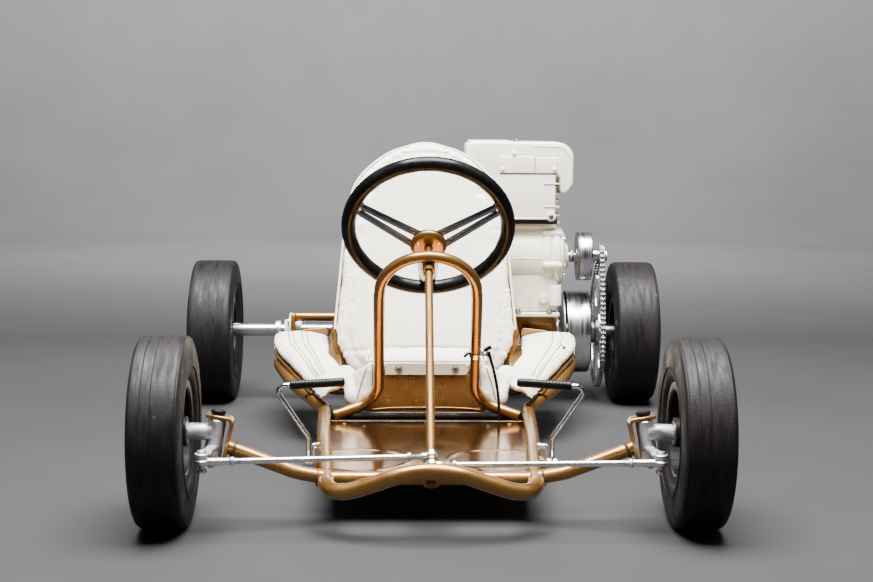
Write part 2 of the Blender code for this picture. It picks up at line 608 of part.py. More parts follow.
def sprocket_outline(teeth):
    """Tooth tips and gaps, as points of the plate's outline."""
    pitch_r = CHAIN_PITCH / 2 / math.sin(math.pi / teeth)
    points = []
    for tooth in range(teeth):
        for radius, turn in ((pitch_r - 0.0022, 0), (pitch_r + 0.0026, 0.5)):
            angle = 2 * math.pi * (tooth + turn) / teeth
            points.append((radius * math.cos(angle), radius * math.sin(angle)))
    return points


def facing_x(x, centre):
    return Matrix(((0, 0, 1, x), (1, 0, 0, centre.y), (0, 1, 0, centre.z), (0, 0, 0, 1)))


sprocket = plate("axle_sprocket", sprocket_outline(AXLE_TEETH), 0.0026, facing_x(CHAIN_X, AXLE))
windows = [rod("window", (0.34, AXLE.y + 0.068 * math.cos(a), AXLE.z + 0.068 * math.sin(a)),
               (0.36, AXLE.y + 0.068 * math.cos(a), AXLE.z + 0.068 * math.sin(a)), 0.017, 10)
           for a in [math.radians(60 * i + 30) for i in range(6)]]
sprocket = union(sprocket, turned("hub", [
    (AXLE_R - 0.002, 0.3456), (0.0300, 0.3456), (0.0300, 0.3560), (AXLE_R - 0.002, 0.3560),
], AXLE, X, 18))
sprocket = cut(sprocket, rod("bore", (0.33, AXLE.y, AXLE.z), (0.37, AXLE.y, AXLE.z), AXLE_R + 0.0006, 16), *windows)
paint(origin_at(sprocket, AXLE), "steel")

# The chain: one closed band outside the teeth, round both sprockets
axle_pitch_r = CHAIN_PITCH / 2 / math.sin(math.pi / AXLE_TEETH)
clutch_pitch_r = CHAIN_PITCH / 2 / math.sin(math.pi / CLUTCH_TEETH)
span = CRANK - AXLE
chain_line = math.atan2(span.z, span.y)
lean = math.acos((axle_pitch_r - clutch_pitch_r) / span.length)


def chain_loop(extra):
    """The chain's line, moved outward by extra, as points in Y and Z."""
    points = []
    for centre, radius, first, last, steps in (
        (AXLE, axle_pitch_r, chain_line + lean, chain_line + 2 * math.pi - lean, 30),
        (CRANK, clutch_pitch_r, chain_line - lean, chain_line + lean, 8),
    ):
        for i in range(steps + 1):
            angle = first + (last - first) * i / steps
            points.append((centre.y + (radius + extra) * math.cos(angle), centre.z + (radius + extra) * math.sin(angle)))
    return points


flat = Matrix(((0, 0, 1, CHAIN_X), (1, 0, 0, 0), (0, 1, 0, 0), (0, 0, 0, 1)))
chain = cut(plate("drive_chain", chain_loop(0.0062), 0.0100, flat), plate("inside", chain_loop(0.0031), 0.0200, flat))
paint(chain, "steel")

# Engine: crank line along X, cylinder upright, cooling fan and recoil starter behind the seat
mount = block("engine_mount", (0.170, 0.936, 0.1345), (0.2560, 1.110, 0.1810), 0.002)
mount = cut(mount, block("under", (0.1735, 0.90, 0.12), (0.2525, 1.15, 0.1775)),
            rod("tube_room", (0.1, 0.985, 0.1705), (0.3, 0.985, 0.1705), 0.0094, 14),
            rod("axle_room", (0.1, AXLE.y, AXLE.z), (0.3, AXLE.y, AXLE.z), 0.0225, 14))
paint(mount, "gold_paint")

crankcase = rod("crankcase", (0.158, CRANK.y, CRANK.z), (0.2640, CRANK.y, CRANK.z), 0.0600, 28)
crankcase = union(
    crankcase,
    block("sump", (0.1620, 0.914, 0.1900), (0.2620, 1.014, 0.2700), 0.006),
    block("foot", (0.1600, 0.904, 0.1815), (0.2640, 1.024, 0.1905), 0.002),
    block("deck", (0.1640, 0.922, 0.3300), (0.2600, 1.006, 0.3640), 0.003),
    rod("stud", (0.183, 0.911, 0.189), (0.183, 0.911, 0.1975), 0.0050, 6),
    rod("stud", (0.244, 0.911, 0.189), (0.244, 0.911, 0.1975), 0.0050, 6),
    rod("boss", (0.246, 0.900, 0.222), (0.246, 0.930, 0.222), 0.0120, 12),
    rod("rib", (0.210, 0.9090, 0.2850), (0.210, 0.9090, 0.2650), 0.0040, 6),
)
crankcase = cut(
    crankcase,
    rod("bearing_bore", (0.10, CRANK.y, CRANK.z), (0.30, CRANK.y, CRANK.z), 0.0135, 16),
    rod("crank_room", (0.1780, CRANK.y, CRANK.z), (0.2440, CRANK.y, CRANK.z), 0.0480, 20),
    rod("skirt_room", (0.2110, CRANK.y, 0.3), (0.2110, CRANK.y, 0.40), 0.0265, 20),
)
paint(crankcase, "white_paint")
cover = turned("side_cover", [
    (0.0135, 0.2645), (0.0560, 0.2645), (0.0560, 0.2700), (0.0500, 0.2740), (0.0280, 0.2740), (0.0230, 0.2830),
    (0.0135, 0.2830),
], CRANK, X, 18)
cover = union(cover, *[rod("screw", (0.2690, CRANK.y + 0.050 * math.cos(a), CRANK.z + 0.050 * math.sin(a)),
                           (0.2760, CRANK.y + 0.050 * math.cos(a), CRANK.z + 0.050 * math.sin(a)), 0.0040, 6)
                       for a in [math.radians(45 + 90 * i) for i in range(4)]])
paint(cover, "white_paint")


def comb(width_low, width_high, low, pitch, fins, thin):
    """The outline of a block with cooling fins on both sides."""
    right = []
    for i in range(fins):
        z = low + pitch * i
        right += [(width_high, z), (width_high, z + thin), (width_low, z + thin), (width_low, z + pitch)]
    right = right[:-1]
    right[-1] = (width_high, low + pitch * (fins - 1) + thin)
    right = right[:-1]
    return right + [(-x, z) for x, z in right[::-1]]


upright = Matrix(((1, 0, 0, 0.2110), (0, 0, -1, CRANK.y), (0, 1, 0, 0), (0, 0, 0, 1)))
cylinder = plate("cylinder", comb(0.0340, 0.0540, 0.3645, 0.0140, 7, 0.0035), 0.0900, upright)
cylinder = cut(cylinder, rod("bore", (0.211, CRANK.y, 0.3), (0.211, CRANK.y, 0.50), 0.0265, 20))
paint(cylinder, "white_paint")
head = plate("cylinder_head", comb(0.0360, 0.0540, 0.4530, 0.0100, 3, 0.0035), 0.0900, upright)
head = cut(head, rod("chamber", (0.211, CRANK.y, 0.44), (0.211, CRANK.y, 0.462), 0.0240, 16),
           rod("plug_hole", (0.211, CRANK.y, 0.45), (0.211, CRANK.y, 0.49), 0.0066, 10))
paint(head, "white_paint")
plug = rod("spark_plug", (0.211, CRANK.y, 0.4580), (0.211, CRANK.y, 0.4770), 0.0060, 10)
plug = union(plug, rod("hex", (0.211, CRANK.y, 0.4770), (0.211, CRANK.y, 0.4840), 0.0090, 6),
             rod("insulator", (0.211, CRANK.y, 0.4830), (0.211, CRANK.y, 0.4990), 0.0055, 10))
paint(plug, "white_paint")

# Cooling shroud: fan housing, riser and the box over the cylinder, one pressed shell open to the engine
FAN_R = 0.0860
shroud = rod("blower_shroud", (0.0800, CRANK.y, CRANK.z), (0.1500, CRANK.y, CRANK.z), FAN_R, 28)
box = block("box", (0.0780, 0.9000, 0.4560), (0.2870, 1.0280, 0.5240), 0.018, 3)
skirt = block("skirt", (0.1450, 0.9006, 0.3740), (0.2520, 0.9162, 0.4780), 0.002)
riser = block("riser", (0.0810, 0.9012, 0.3000), (0.1490, 1.0268, 0.4820), 0.004)
shroud = union(shroud, box, riser, skirt)
shroud = cut(
    shroud,
    rod("fan_room", (0.0830, CRANK.y, CRANK.z), (0.1600, CRANK.y, CRANK.z), FAN_R - 0.003, 28),
    block("box_room", (0.0810, 0.9030, 0.4400), (0.2840, 1.0250, 0.5205), 0.016, 2),
    block("riser_room", (0.0838, 0.9041, 0.2900), (0.1610, 1.0239, 0.4710)),
    block("skirt_room", (0.1440, 0.9034, 0.3100), (0.2720, 0.9310, 0.4690)),
    block("open_below", (0.1505, 0.9290, 0.3200), (0.2900, 1.1000, 0.4620)),
    rod("pull_hole", (0.0700, CRANK.y, CRANK.z), (0.0900, CRANK.y, CRANK.z), 0.0300, 20),
)
shroud = union(shroud, block("seam", (0.1700, 0.9030, 0.4890), (0.2480, 0.9070, 0.4910)),
               rod("screw", (0.1720, 0.8955, 0.5000), (0.1720, 0.9020, 0.5000), 0.0050, 8),
               rod("cap_screw", (0.1780, 0.9550, 0.5200), (0.1780, 0.9550, 0.5275), 0.0060, 8))
paint(shroud, "white_paint")
recoil = turned("recoil_housing", [
    (0, 0.0570), (0.0500, 0.0570), (0.0600, 0.0640), (0.0620, 0.0795), (0.0580, 0.0795), (0.0560, 0.0660),
    (0.0480, 0.0600), (0, 0.0600),
], CRANK, X, 18, ring=False)
paint(recoil, "white_paint")
handle = rod("starter_handle", (0.0720, 1.0350, 0.2900), (0.0720, 1.0350, 0.3300), 0.0070, 10)
paint(handle, "black_plastic")

crankshaft = rod("crankshaft", (0.0880, CRANK.y, CRANK.z), (0.3620, CRANK.y, CRANK.z), 0.0080, 14)
crankshaft = union(
    crankshaft,
    rod("journal", (0.1560, CRANK.y, CRANK.z), (0.2830, CRANK.y, CRANK.z), 0.0120, 12),
    rod("web", (0.1860, CRANK.y, CRANK.z - 0.004), (0.2000, CRANK.y, CRANK.z - 0.004), 0.0400, 14),
    rod("web", (0.2220, CRANK.y, CRANK.z - 0.004), (0.2360, CRANK.y, CRANK.z - 0.004), 0.0400, 14),
    rod("crankpin", (0.1900, CRANK.y, CRANK.z + 0.0240), (0.2300, CRANK.y, CRANK.z + 0.0240), 0.0090, 10),
)
crankshaft = cut(crankshaft, block("between", (0.2002, CRANK.y - 0.06, CRANK.z - 0.06),
                                   (0.2218, CRANK.y + 0.06, CRANK.z + 0.0140)))
crankshaft = union(crankshaft, turned("clutch_hub", [
    (0.006, 0.2990), (0.0180, 0.2990), (0.0180, 0.3020), (0.0420, 0.3020), (0.0445, 0.3060), (0.0445, 0.3240),
    (0.0300, 0.3240), (0.0300, 0.3100), (0.006, 0.3100),
], CRANK, X, 16))
paint(origin_at(crankshaft, CRANK), "steel")
flywheel = turned("flywheel", [
    (0.0084, 0.0920), (0.0260, 0.0920), (0.0260, 0.1100), (0.0600, 0.1100), (0.0700, 0.1060), (0.0700, 0.1240),
    (0.0200, 0.1240), (0.0200, 0.1400), (0.0084, 0.1400),
], CRANK, X, 16)
vanes = []
for i in range(8):
    vane = block("vane", (0.0920, 0.036, -0.0015), (0.1115, 0.076, 0.0015))
    vane.data.transform(Matrix.Translation(CRANK) @ Matrix.Rotation(math.radians(45 * i + 11), 4, "X"))
    vanes.append(vane)
flywheel = union(flywheel, *vanes)
paint(origin_at(flywheel, CRANK), "cast_aluminium")
clutch = turned("clutch_drum", [
    (0.0086, 0.3270), (0.0460, 0.3270), (0.0460, 0.3050), (0.0485, 0.3050), (0.0485, 0.3300), (0.0140, 0.3320),
    (0.0140, 0.3580), (0.0086, 0.3580),
], CRANK, X, 18)
teeth = plate("teeth", sprocket_outline(CLUTCH_TEETH), 0.0026, facing_x(CHAIN_X, CRANK))
clutch = cut(union(clutch, teeth), rod("bore", (0.34, CRANK.y, CRANK.z), (0.37, CRANK.y, CRANK.z), 0.0086, 14))
paint(origin_at(clutch, CRANK), "chrome")

# Fuel tank, carburettor and silencer, on the far side of the engine from the driver
tank = rod("fuel_tank", (0.1000, 1.0900, 0.4300), (0.2500, 1.0900, 0.4300), 0.0480, 20)
tank = union(tank, rod("neck", (0.1750, 1.0900, 0.4700), (0.1750, 1.0900, 0.4860), 0.0180, 14))
paint(tank, "white_paint")
cap = turned("fuel_cap", [
    (0, 0.4865), (0.0210, 0.4865), (0.0210, 0.4960), (0.0190, 0.4980), (0, 0.4980),
], Vector((0.1750, 1.0900, 0)), Z, 16, ring=False)
paint(cap, "chrome")
carburettor = union(
    block("carburettor", (0.1900, 1.0300, 0.2700), (0.2300, 1.0900, 0.3250), 0.004),
    rod("throat", (0.2100, 1.0290, 0.2980), (0.2100, 1.1000, 0.2980), 0.0180, 14),
    rod("bowl", (0.2100, 1.0600, 0.2500), (0.2100, 1.0600, 0.2750), 0.0170, 12),
)
paint(carburettor, "cast_aluminium")
cleaner = turned("air_cleaner", [
    (0, 0), (0.0300, 0), (0.0330, 0.0030), (0.0330, 0.0280), (0.0300, 0.0310), (0, 0.0310),
], Vector((0.2100, 1.1005, 0.2980)), Y, 18, ring=False)
paint(cleaner, "cast_aluminium")
silencer = rod("silencer", (0.1000, 1.0800, 0.2300), (0.1560, 1.0800, 0.2300), 0.0240, 14)
silencer = union(silencer, rod("outlet", (0.0850, 1.0800, 0.2300), (0.1100, 1.0800, 0.2300), 0.0090, 10))
paint(silencer, "steel")

# Pedals: bent rods on pins beside the rails, a grip sleeve on each foot bar
for name, side in (("throttle", -1), ("brake", 1)):
    path = bend([mirrored(p, side) for p in (
        (0.1755, PEDAL_PIVOT.y, PEDAL_PIVOT.z + 0.0065), (0.1755, 0.058, 0.115), (0.2260, 0.053, 0.1905),
        (0.1270, 0.053, 0.1965),
    )], 0.008, 3)
    pedal = tube(name + "_pedal", path, 0.0036, 8)
    eye = turned("eye", [(0.0041, -0.0075), (0.0075, -0.0075), (0.0075, 0.0060), (0.0041, 0.0060)],
                 mirrored((0.1755, PEDAL_PIVOT.y, PEDAL_PIVOT.z), side), X * side, 12)
    pedal = union(pedal, eye)
    paint(origin_at(pedal, mirrored(PEDAL_PIVOT, side)), "chrome")
    start, end = mirrored((0.2015, 0.053, 0.1920), side), mirrored((0.1270, 0.053, 0.1965), side)
    way = (end - start).normalized()
    grip = turned(name + "_grip", [
        (0, 0.0785), (0.0040, 0.0785), (0.0066, 0.0740), (0.0066, 0.003), (0.0060, 0), (0.0042, 0), (0.0042, 0.0762),
        (0, 0.0762),
    ], start, way, 10, ring=False)
    paint(origin_at(grip, mirrored(PEDAL_PIVOT, side)), "black_plastic")

# Clamp on the hoop's left-hand leg and the throttle cable that runs down from it
leg = on_hoop(0.0813, 0.214)
clamp = turned("hoop_clamp", [
    (HOOP_R + 0.0005, -0.0045), (HOOP_R + 0.0022, -0.0045), (HOOP_R + 0.0022, 0.0045), (HOOP_R + 0.0005, 0.0045),
], leg, SHAFT_UP, 16)
clamp = union(clamp, rod("screw", leg + X * 0.0145 - Y * 0.012, leg + X * 0.0145 + Y * 0.014, 0.0038, 8),
              block("lug", leg + Vector((0.0098, -0.006, -0.005)), leg + Vector((0.020, 0.002, 0.005))))
paint(clamp, "steel")
cable = tube("throttle_cable", bend([
    leg + Vector((0.0235, -0.001, -0.002)), leg + Vector((0.030, 0.000, -0.030)), (0.1130, 0.4880, 0.1180),
    (0.1160, 0.4880, 0.0900), (0.1180, 0.4900, 0.0740),
], 0.03, 3), 0.0022, 8)
paint(cable, "black_plastic")

# The middle of the kart stands on the origin
middle = (WHEELBASE + REAR_TYRE_R - FRONT_TYRE_R) / 2
for obj in kart.objects:
    obj.location.y -= middle
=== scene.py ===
"""Looks for a small racing kart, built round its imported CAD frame.

Metres, +Z up, the kart faces -Y. Shapes are written with the front axle at Y = 0, as the kart's drawing has
them. made() and upholstered() move them to the frame, whose front axle is found from the front tyre's box.
"""

import math
import random

import bmesh
import bpy
from mathutils import Matrix, Vector, noise
from mathutils.bvhtree import BVHTree
from mathutils.kdtree import KDTree


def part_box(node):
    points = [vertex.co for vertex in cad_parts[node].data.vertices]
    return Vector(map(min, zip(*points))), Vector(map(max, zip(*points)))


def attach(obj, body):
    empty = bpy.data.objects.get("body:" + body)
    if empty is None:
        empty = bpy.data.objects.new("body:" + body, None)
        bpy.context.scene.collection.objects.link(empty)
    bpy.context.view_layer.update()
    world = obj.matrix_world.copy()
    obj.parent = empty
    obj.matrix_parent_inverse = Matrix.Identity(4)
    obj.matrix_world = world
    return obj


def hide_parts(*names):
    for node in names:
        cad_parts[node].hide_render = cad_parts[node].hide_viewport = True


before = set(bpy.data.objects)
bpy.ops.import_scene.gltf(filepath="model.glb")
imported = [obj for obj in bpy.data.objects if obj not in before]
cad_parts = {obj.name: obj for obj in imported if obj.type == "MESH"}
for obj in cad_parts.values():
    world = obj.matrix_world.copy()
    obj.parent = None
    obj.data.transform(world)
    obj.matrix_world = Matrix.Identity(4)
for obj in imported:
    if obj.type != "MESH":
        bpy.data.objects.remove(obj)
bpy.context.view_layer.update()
random.seed(7)

X, Y, Z = Vector((1, 0, 0)), Vector((0, 1, 0)), Vector((0, 0, 1))


def middle_of(node):
    low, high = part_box(node)
    return (low + high) / 2


SHIFT = Vector((0, middle_of("tyre_front_left").y, 0))
REAR_Y = middle_of("tyre_rear_left").y - SHIFT.y
AXLE_Z = middle_of("rear_axle").z


def width_of(node, axis):
    low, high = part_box(node)
    return (high - low)[axis]


# ---------------------------------------------------------------- materials
def hexed(code, k=1.0):
    """An sRGB colour code as linear RGBA."""
    parts = [int(code[i:i + 2], 16) / 255 for i in (0, 2, 4)]
    return (*[k * (p / 12.92 if p <= 0.04045 else ((p + 0.055) / 1.055) ** 2.4) for p in parts], 1)


class Nodes:
    """A Principled material and short ways to add procedural detail to it."""

    def __init__(self, name, colour, rough, metal=0.0, **more):
        self.material = bpy.data.materials.new(name)
        self.material.use_nodes = True
        self.tree = self.material.node_tree
        self.shader = self.tree.nodes["Principled BSDF"]
        self.shader.inputs["Base Color"].default_value = colour
        self.shader.inputs["Roughness"].default_value = rough
        self.shader.inputs["Metallic"].default_value = metal
        for key, value in more.items():
            self.shader.inputs[key.replace("_", " ")].default_value = value
        self.colour = None
        self.bump = None
        coordinates = self.tree.nodes.new("ShaderNodeTexCoord")
        self.place = coordinates.outputs["Object"]

    def link(self, a, b):
        self.tree.links.new(a, b)

    def stretched(self, scale):
        mapping = self.tree.nodes.new("ShaderNodeMapping")
        mapping.inputs["Scale"].default_value = scale
        self.link(self.place, mapping.inputs["Vector"])
        return mapping.outputs["Vector"]

    def noise(self, scale, detail=4.0, rough=0.55, stretch=None, distort=0.0):
        node = self.tree.nodes.new("ShaderNodeTexNoise")
        node.inputs["Scale"].default_value = scale
        node.inputs["Detail"].default_value = detail
        node.inputs["Roughness"].default_value = rough
        node.inputs["Distortion"].default_value = distort
        self.link(self.stretched(stretch) if stretch else self.place, node.inputs["Vector"])
        return node.outputs["Fac"]

    def cells(self, scale, feature="F1", stretch=None):
        node = self.tree.nodes.new("ShaderNodeTexVoronoi")
        node.feature = feature
        node.inputs["Scale"].default_value = scale
        self.link(self.stretched(stretch) if stretch else self.place, node.inputs["Vector"])
        return node.outputs["Distance"]

    def wave(self, scale, axis="X", distort=0.0):
        node = self.tree.nodes.new("ShaderNodeTexWave")
        node.bands_direction = axis
        node.inputs["Scale"].default_value = scale
        node.inputs["Distortion"].default_value = distort
        self.link(self.place, node.inputs["Vector"])
        return node.outputs["Fac"]

    def ramp(self, value, *stops):
        node = self.tree.nodes.new("ShaderNodeValToRGB")
        elements = node.color_ramp.elements
        while len(elements) < len(stops):
            elements.new(0.5)
        for element, (place, shade) in zip(elements, stops):
            element.position = place
            element.color = shade if isinstance(shade, tuple) else (shade, shade, shade, 1)
        self.link(value, node.inputs["Fac"])
        return node.outputs["Color"]

    def tint(self, value, low, high, colour, blend="MIX"):
        """Mixes the colour in where the value goes from low to high."""
        mix = self.tree.nodes.new("ShaderNodeMix")
        mix.data_type = "RGBA"
        mix.blend_type = blend
        if self.colour is None:
            mix.inputs[6].default_value = self.shader.inputs["Base Color"].default_value[:]
        else:
            self.link(self.colour, mix.inputs[6])
        mix.inputs[7].default_value = colour
        self.link(self.ramp(value, (low, 0.0), (high, 1.0)), mix.inputs[0])
        self.colour = mix.outputs[2]
        self.link(self.colour, self.shader.inputs["Base Color"])
        return self

    def gloss(self, value, low, high, at=(0.35, 0.65)):
        self.link(self.ramp(value, (at[0], low), (at[1], high)), self.shader.inputs["Roughness"])
        return self

    def relief(self, value, depth, distance=0.001):
        node = self.tree.nodes.new("ShaderNodeBump")
        node.inputs["Strength"].default_value = depth
        node.inputs["Distance"].default_value = distance
        self.link(value, node.inputs["Height"])
        if self.bump is not None:
            self.link(self.bump, node.inputs["Normal"])
        self.bump = node.outputs["Normal"]
        self.link(self.bump, self.shader.inputs["Normal"])
        return self


def gold(name="gold_paint", rough=0.30, coat=0.25, metal=0.80, k=0.70):
    m = Nodes(name, (0.38 * k, 0.188 * k, 0.050 * k, 1), rough, metal, Coat_Weight=coat,
              Coat_Roughness=0.08)
    m.tint(m.noise(2600, 2), 0.52, 0.75, (0.54 * k, 0.29 * k, 0.095 * k, 1))
    m.tint(m.noise(7, 6, 0.7), 0.50, 0.85, (0.27 * k, 0.118 * k, 0.026 * k, 1))
    m.tint(m.noise(46, 8, 0.75, distort=0.6), 0.76, 0.84, (0.20 * k, 0.090 * k, 0.028 * k, 1))
    m.gloss(m.noise(28, 6), rough * 0.8, rough * 1.3)
    return m.relief(m.noise(900, 2), 0.02, 0.0003).relief(m.noise(60, 3), 0.02, 0.001).material


def worn_gold():
    m = Nodes("gold_worn", (0.13, 0.058, 0.016, 1), 0.42, 0.60, Coat_Weight=0.2, Coat_Roughness=0.25)
    m.tint(m.noise(55, 8, 0.75), 0.45, 0.62, (0.05, 0.026, 0.014, 1))
    m.tint(m.noise(140, 6, 0.7), 0.60, 0.68, (0.30, 0.26, 0.22, 1))
    m.gloss(m.noise(90, 6), 0.30, 0.60)
    return m.relief(m.noise(160, 6), 0.5, 0.0012).material


def vinyl():
    m = Nodes("white_vinyl", hexed("ebe4d6"), 0.46, Sheen_Weight=0.12, Sheen_Roughness=0.4)
    m.tint(m.noise(5, 5, 0.6), 0.48, 0.85, hexed("ddd1bb"))
    m.tint(m.cells(700), 0.40, 0.75, hexed("e9e2d4"))
    m.tint(m.noise(26, 8, 0.7, distort=0.8), 0.64, 0.76, hexed("bfb196"))
    m.gloss(m.noise(34, 6), 0.38, 0.56)
    m.relief(m.cells(620, "DISTANCE_TO_EDGE"), 0.32, 0.0005)
    return m.relief(m.noise(70, 5, 0.6), 0.22, 0.0015).material


def piping():
    m = Nodes("seam_piping", hexed("e6dfd0"), 0.5)
    m.tint(m.noise(60, 6), 0.5, 0.75, hexed("c9bea8"))
    return m.relief(m.noise(500, 4), 0.3, 0.0005).material


def thread():
    m = Nodes("stitch_thread", hexed("5d5342"), 0.7)
    m.tint(m.noise(300, 4), 0.45, 0.7, hexed("7d735f"))
    return m.relief(m.wave(500, "DIAGONAL"), 0.5, 0.0003).material


def engine_white():
    m = Nodes("white_paint", hexed("ebe5d4"), 0.30, Coat_Weight=0.35, Coat_Roughness=0.12)
    m.tint(m.noise(6, 6, 0.6), 0.52, 0.85, hexed("e0d6c0"))
    m.tint(m.noise(38, 8, 0.8, distort=0.4), 0.685, 0.74, hexed("7c7161"))
    m.gloss(m.noise(30, 6), 0.24, 0.42)
    return m.relief(m.noise(220, 5, 0.65), 0.16, 0.0010).relief(m.noise(40, 3), 0.10, 0.002).material


def cast_white():
    m = Nodes("white_cast", hexed("e6dfcc"), 0.36, Coat_Weight=0.2, Coat_Roughness=0.2)
    m.tint(m.noise(9, 6, 0.6), 0.50, 0.80, hexed("d8ccb2"))
    m.tint(m.noise(70, 8, 0.8), 0.66, 0.73, hexed("8b7f6b"))
    return m.relief(m.noise(420, 5, 0.7), 0.35, 0.0009).relief(m.noise(50, 3), 0.14, 0.002).material


def steel(name="steel", shade=0.56, rough=0.26, brush=(1, 60, 60)):
    m = Nodes(name, (shade, shade, shade * 1.02, 1), rough, 1.0)
    m.tint(m.noise(30, 8, 0.7), 0.55, 0.80, (shade * 0.5, shade * 0.48, shade * 0.46, 1))
    m.gloss(m.noise(18, 6, 0.6, stretch=brush), rough * 0.7, rough * 1.6)
    return m.relief(m.noise(120, 4, 0.6, stretch=brush), 0.06, 0.0004).material


def chrome():
    m = Nodes("chrome", (0.72, 0.72, 0.73, 1), 0.09, 1.0)
    m.tint(m.noise(50, 8, 0.8), 0.68, 0.78, (0.30, 0.26, 0.22, 1))
    m.gloss(m.noise(22, 6), 0.06, 0.18)
    return m.relief(m.noise(90, 3), 0.02, 0.0005).material


def turned_steel():
    """The brake and clutch drums: steel with fine lathe marks round the axle line."""
    m = Nodes("turned_steel", (0.62, 0.62, 0.63, 1), 0.24, 1.0)
    m.tint(m.noise(25, 7, 0.7), 0.55, 0.85, (0.34, 0.33, 0.32, 1))
    m.gloss(m.noise(4, 4, 0.6, stretch=(120, 1, 1)), 0.16, 0.36)
    return m.relief(m.noise(6, 3, 0.6, stretch=(220, 1, 1)), 0.12, 0.0004).material


def cast_silver():
    m = Nodes("cast_aluminium", (0.66, 0.66, 0.67, 1), 0.36, 0.95)
    m.tint(m.noise(20, 7, 0.7), 0.50, 0.78, (0.28, 0.275, 0.27, 1))
    m.tint(m.noise(110, 6, 0.7), 0.62, 0.72, (0.12, 0.11, 0.10, 1))
    m.gloss(m.noise(60, 6), 0.32, 0.58)
    return m.relief(m.noise(330, 5, 0.7), 0.40, 0.0010).material


def rubber():
    m = Nodes("tyre_rubber", (0.0040, 0.0035, 0.0033, 1), 0.46, 0.0, Specular_IOR_Level=0.22)
    m.tint(m.noise(5, 7, 0.7), 0.45, 0.80, (0.0105, 0.0072, 0.0062, 1))
    m.tint(m.noise(9, 6, 0.7, stretch=(26, 1, 1)), 0.60, 0.72, (0.022, 0.0155, 0.0135, 1))
    m.tint(m.noise(70, 3, 0.4), 0.72, 0.78, (0.035, 0.027, 0.024, 1))
    m.gloss(m.noise(22, 6, 0.6, stretch=(6, 1, 1)), 0.42, 0.72)
    m.relief(m.noise(300, 6, 0.7), 0.35, 0.0012)
    return m.relief(m.noise(10, 4, 0.6, stretch=(40, 1, 1)), 0.30, 0.0010).material


# Near-black for the insides of slots, vents, seams, gaps and dimples: painted shade in recesses, not a
# material of its own
def recess_shade_black():
    m = Nodes("painted_recess_shade", (0.006, 0.006, 0.006, 1), 0.8)
    m.tint(m.noise(60, 5), 0.5, 0.8, (0.03, 0.026, 0.024, 1))
    return m.relief(m.noise(200, 4), 0.3, 0.001).material


def black(name="black_plastic", rough=0.28, shade=0.0035):
    m = Nodes(name, (shade, shade, shade, 1), rough, 0.0, Specular_IOR_Level=0.16)
    m.tint(m.noise(40, 8, 0.7), 0.60, 0.80, (shade * 4, shade * 4, shade * 4, 1))
    m.gloss(m.noise(35, 6), rough * 0.7, rough * 1.7)
    return m.relief(m.noise(380, 4), 0.10, 0.0006).material


def dark_steel():
    m = Nodes("chain_steel", (0.19, 0.18, 0.17, 1), 0.38, 1.0)
    m.tint(m.noise(160, 6, 0.7), 0.45, 0.72, (0.38, 0.36, 0.33, 1))
    m.gloss(m.noise(220, 5), 0.25, 0.55)
    return m.relief(m.noise(500, 4), 0.25, 0.0004).material


def polished_dark():
    m = Nodes("spoke_chrome", (0.30, 0.30, 0.31, 1), 0.13, 1.0)
    m.tint(m.noise(35, 7, 0.7), 0.50, 0.80, (0.14, 0.13, 0.125, 1))
    m.gloss(m.noise(26, 5, stretch=(1, 8, 8)), 0.08, 0.24)
    return m.relief(m.noise(80, 3), 0.05, 0.0005).material


GOLD, WORN, VINYL, PIPING, THREAD = gold(), worn_gold(), vinyl(), piping(), thread()
WHITE, CAST_WHITE, STEEL, CHROME = engine_white(), cast_white(), steel(), chrome()
ZINC = steel("zinc_plate", 0.66, 0.30, (40, 1, 1))
DRUM, SILVER, RUBBER, RECESS_SHADE = turned_steel(), cast_silver(), rubber(), recess_shade_black()
GLOSS_BLACK, GRIP_BLACK = black(), black("grip_rubber", 0.30, 0.005)
CHAIN, SPOKE = dark_steel(), polished_dark()
CABLE = black("cable_black", 0.5, 0.006)
# Black paint for the kingpin's top nut; the same near-black also stands in for painted shade on the middle
# cross tube and its welds
BLACK_PAINT_AND_SHADE = black("black_paint_and_painted_shade", 0.6, 0.004)
# A darker, rougher copy of the gold paint for the steering column: the darker colour is painted shade that
# tones down the light falling on the column
SHAFT_GOLD_SHADED = gold("gold_shaft_paint_shaded", 0.46, 0.04, 0.80, 0.42)
# A darker, glossier copy of the gold paint for the floor pan's top: the darker colour is painted shade; the
# gloss is the sheet's own
PAN_GOLD_SHADED = gold("gold_pan_paint_shaded", 0.15, 0.15, 0.96, 0.55)
# Near-black steel for the wheel rims, far darker than the cast aluminium they are: painted shade for the dark
# insides of the wheels
RIM = steel("rim_steel", 0.035, 0.42, (1, 20, 20))


# ---------------------------------------------------------------- shapes
def turn_to(axis, near=None):
    """The rotation that takes +Z to the axis, and +X as near as can be to another direction."""
    z = Vector(axis).normalized()
    guess = Vector(near) if near is not None else (X if abs(z.x) < 0.9 else Y)
    x = (guess - z * guess.dot(z)).normalized()
    y = z.cross(x)
    return Matrix(((x.x, y.x, z.x, 0), (x.y, y.y, z.y, 0), (x.z, y.z, z.z, 0), (0, 0, 0, 1)))


def placed(centre, axis=Z, near=None):
    return Matrix.Translation(Vector(centre)) @ turn_to(axis, near)


def mirror_x(point, side):
    return Vector((point[0] * side, point[1], point[2]))


def smooth_path(points, per=8):
    """A smooth line through the points."""
    points = [Vector(p) for p in points]
    line = []
    for i in range(len(points) - 1):
        before = points[i - 1] if i else points[i] * 2 - points[i + 1]
        after = points[i + 2] if i + 2 < len(points) else points[i + 1] * 2 - points[i]
        for k in range(per):
            t = k / per
            a, b = points[i], points[i + 1]
            line.append(0.5 * (2 * a + (b - before) * t + (2 * before - 5 * a + 4 * b - after) * t * t
                               + (3 * a - before - 3 * b + after) * t ** 3))
    return line + [points[-1]]


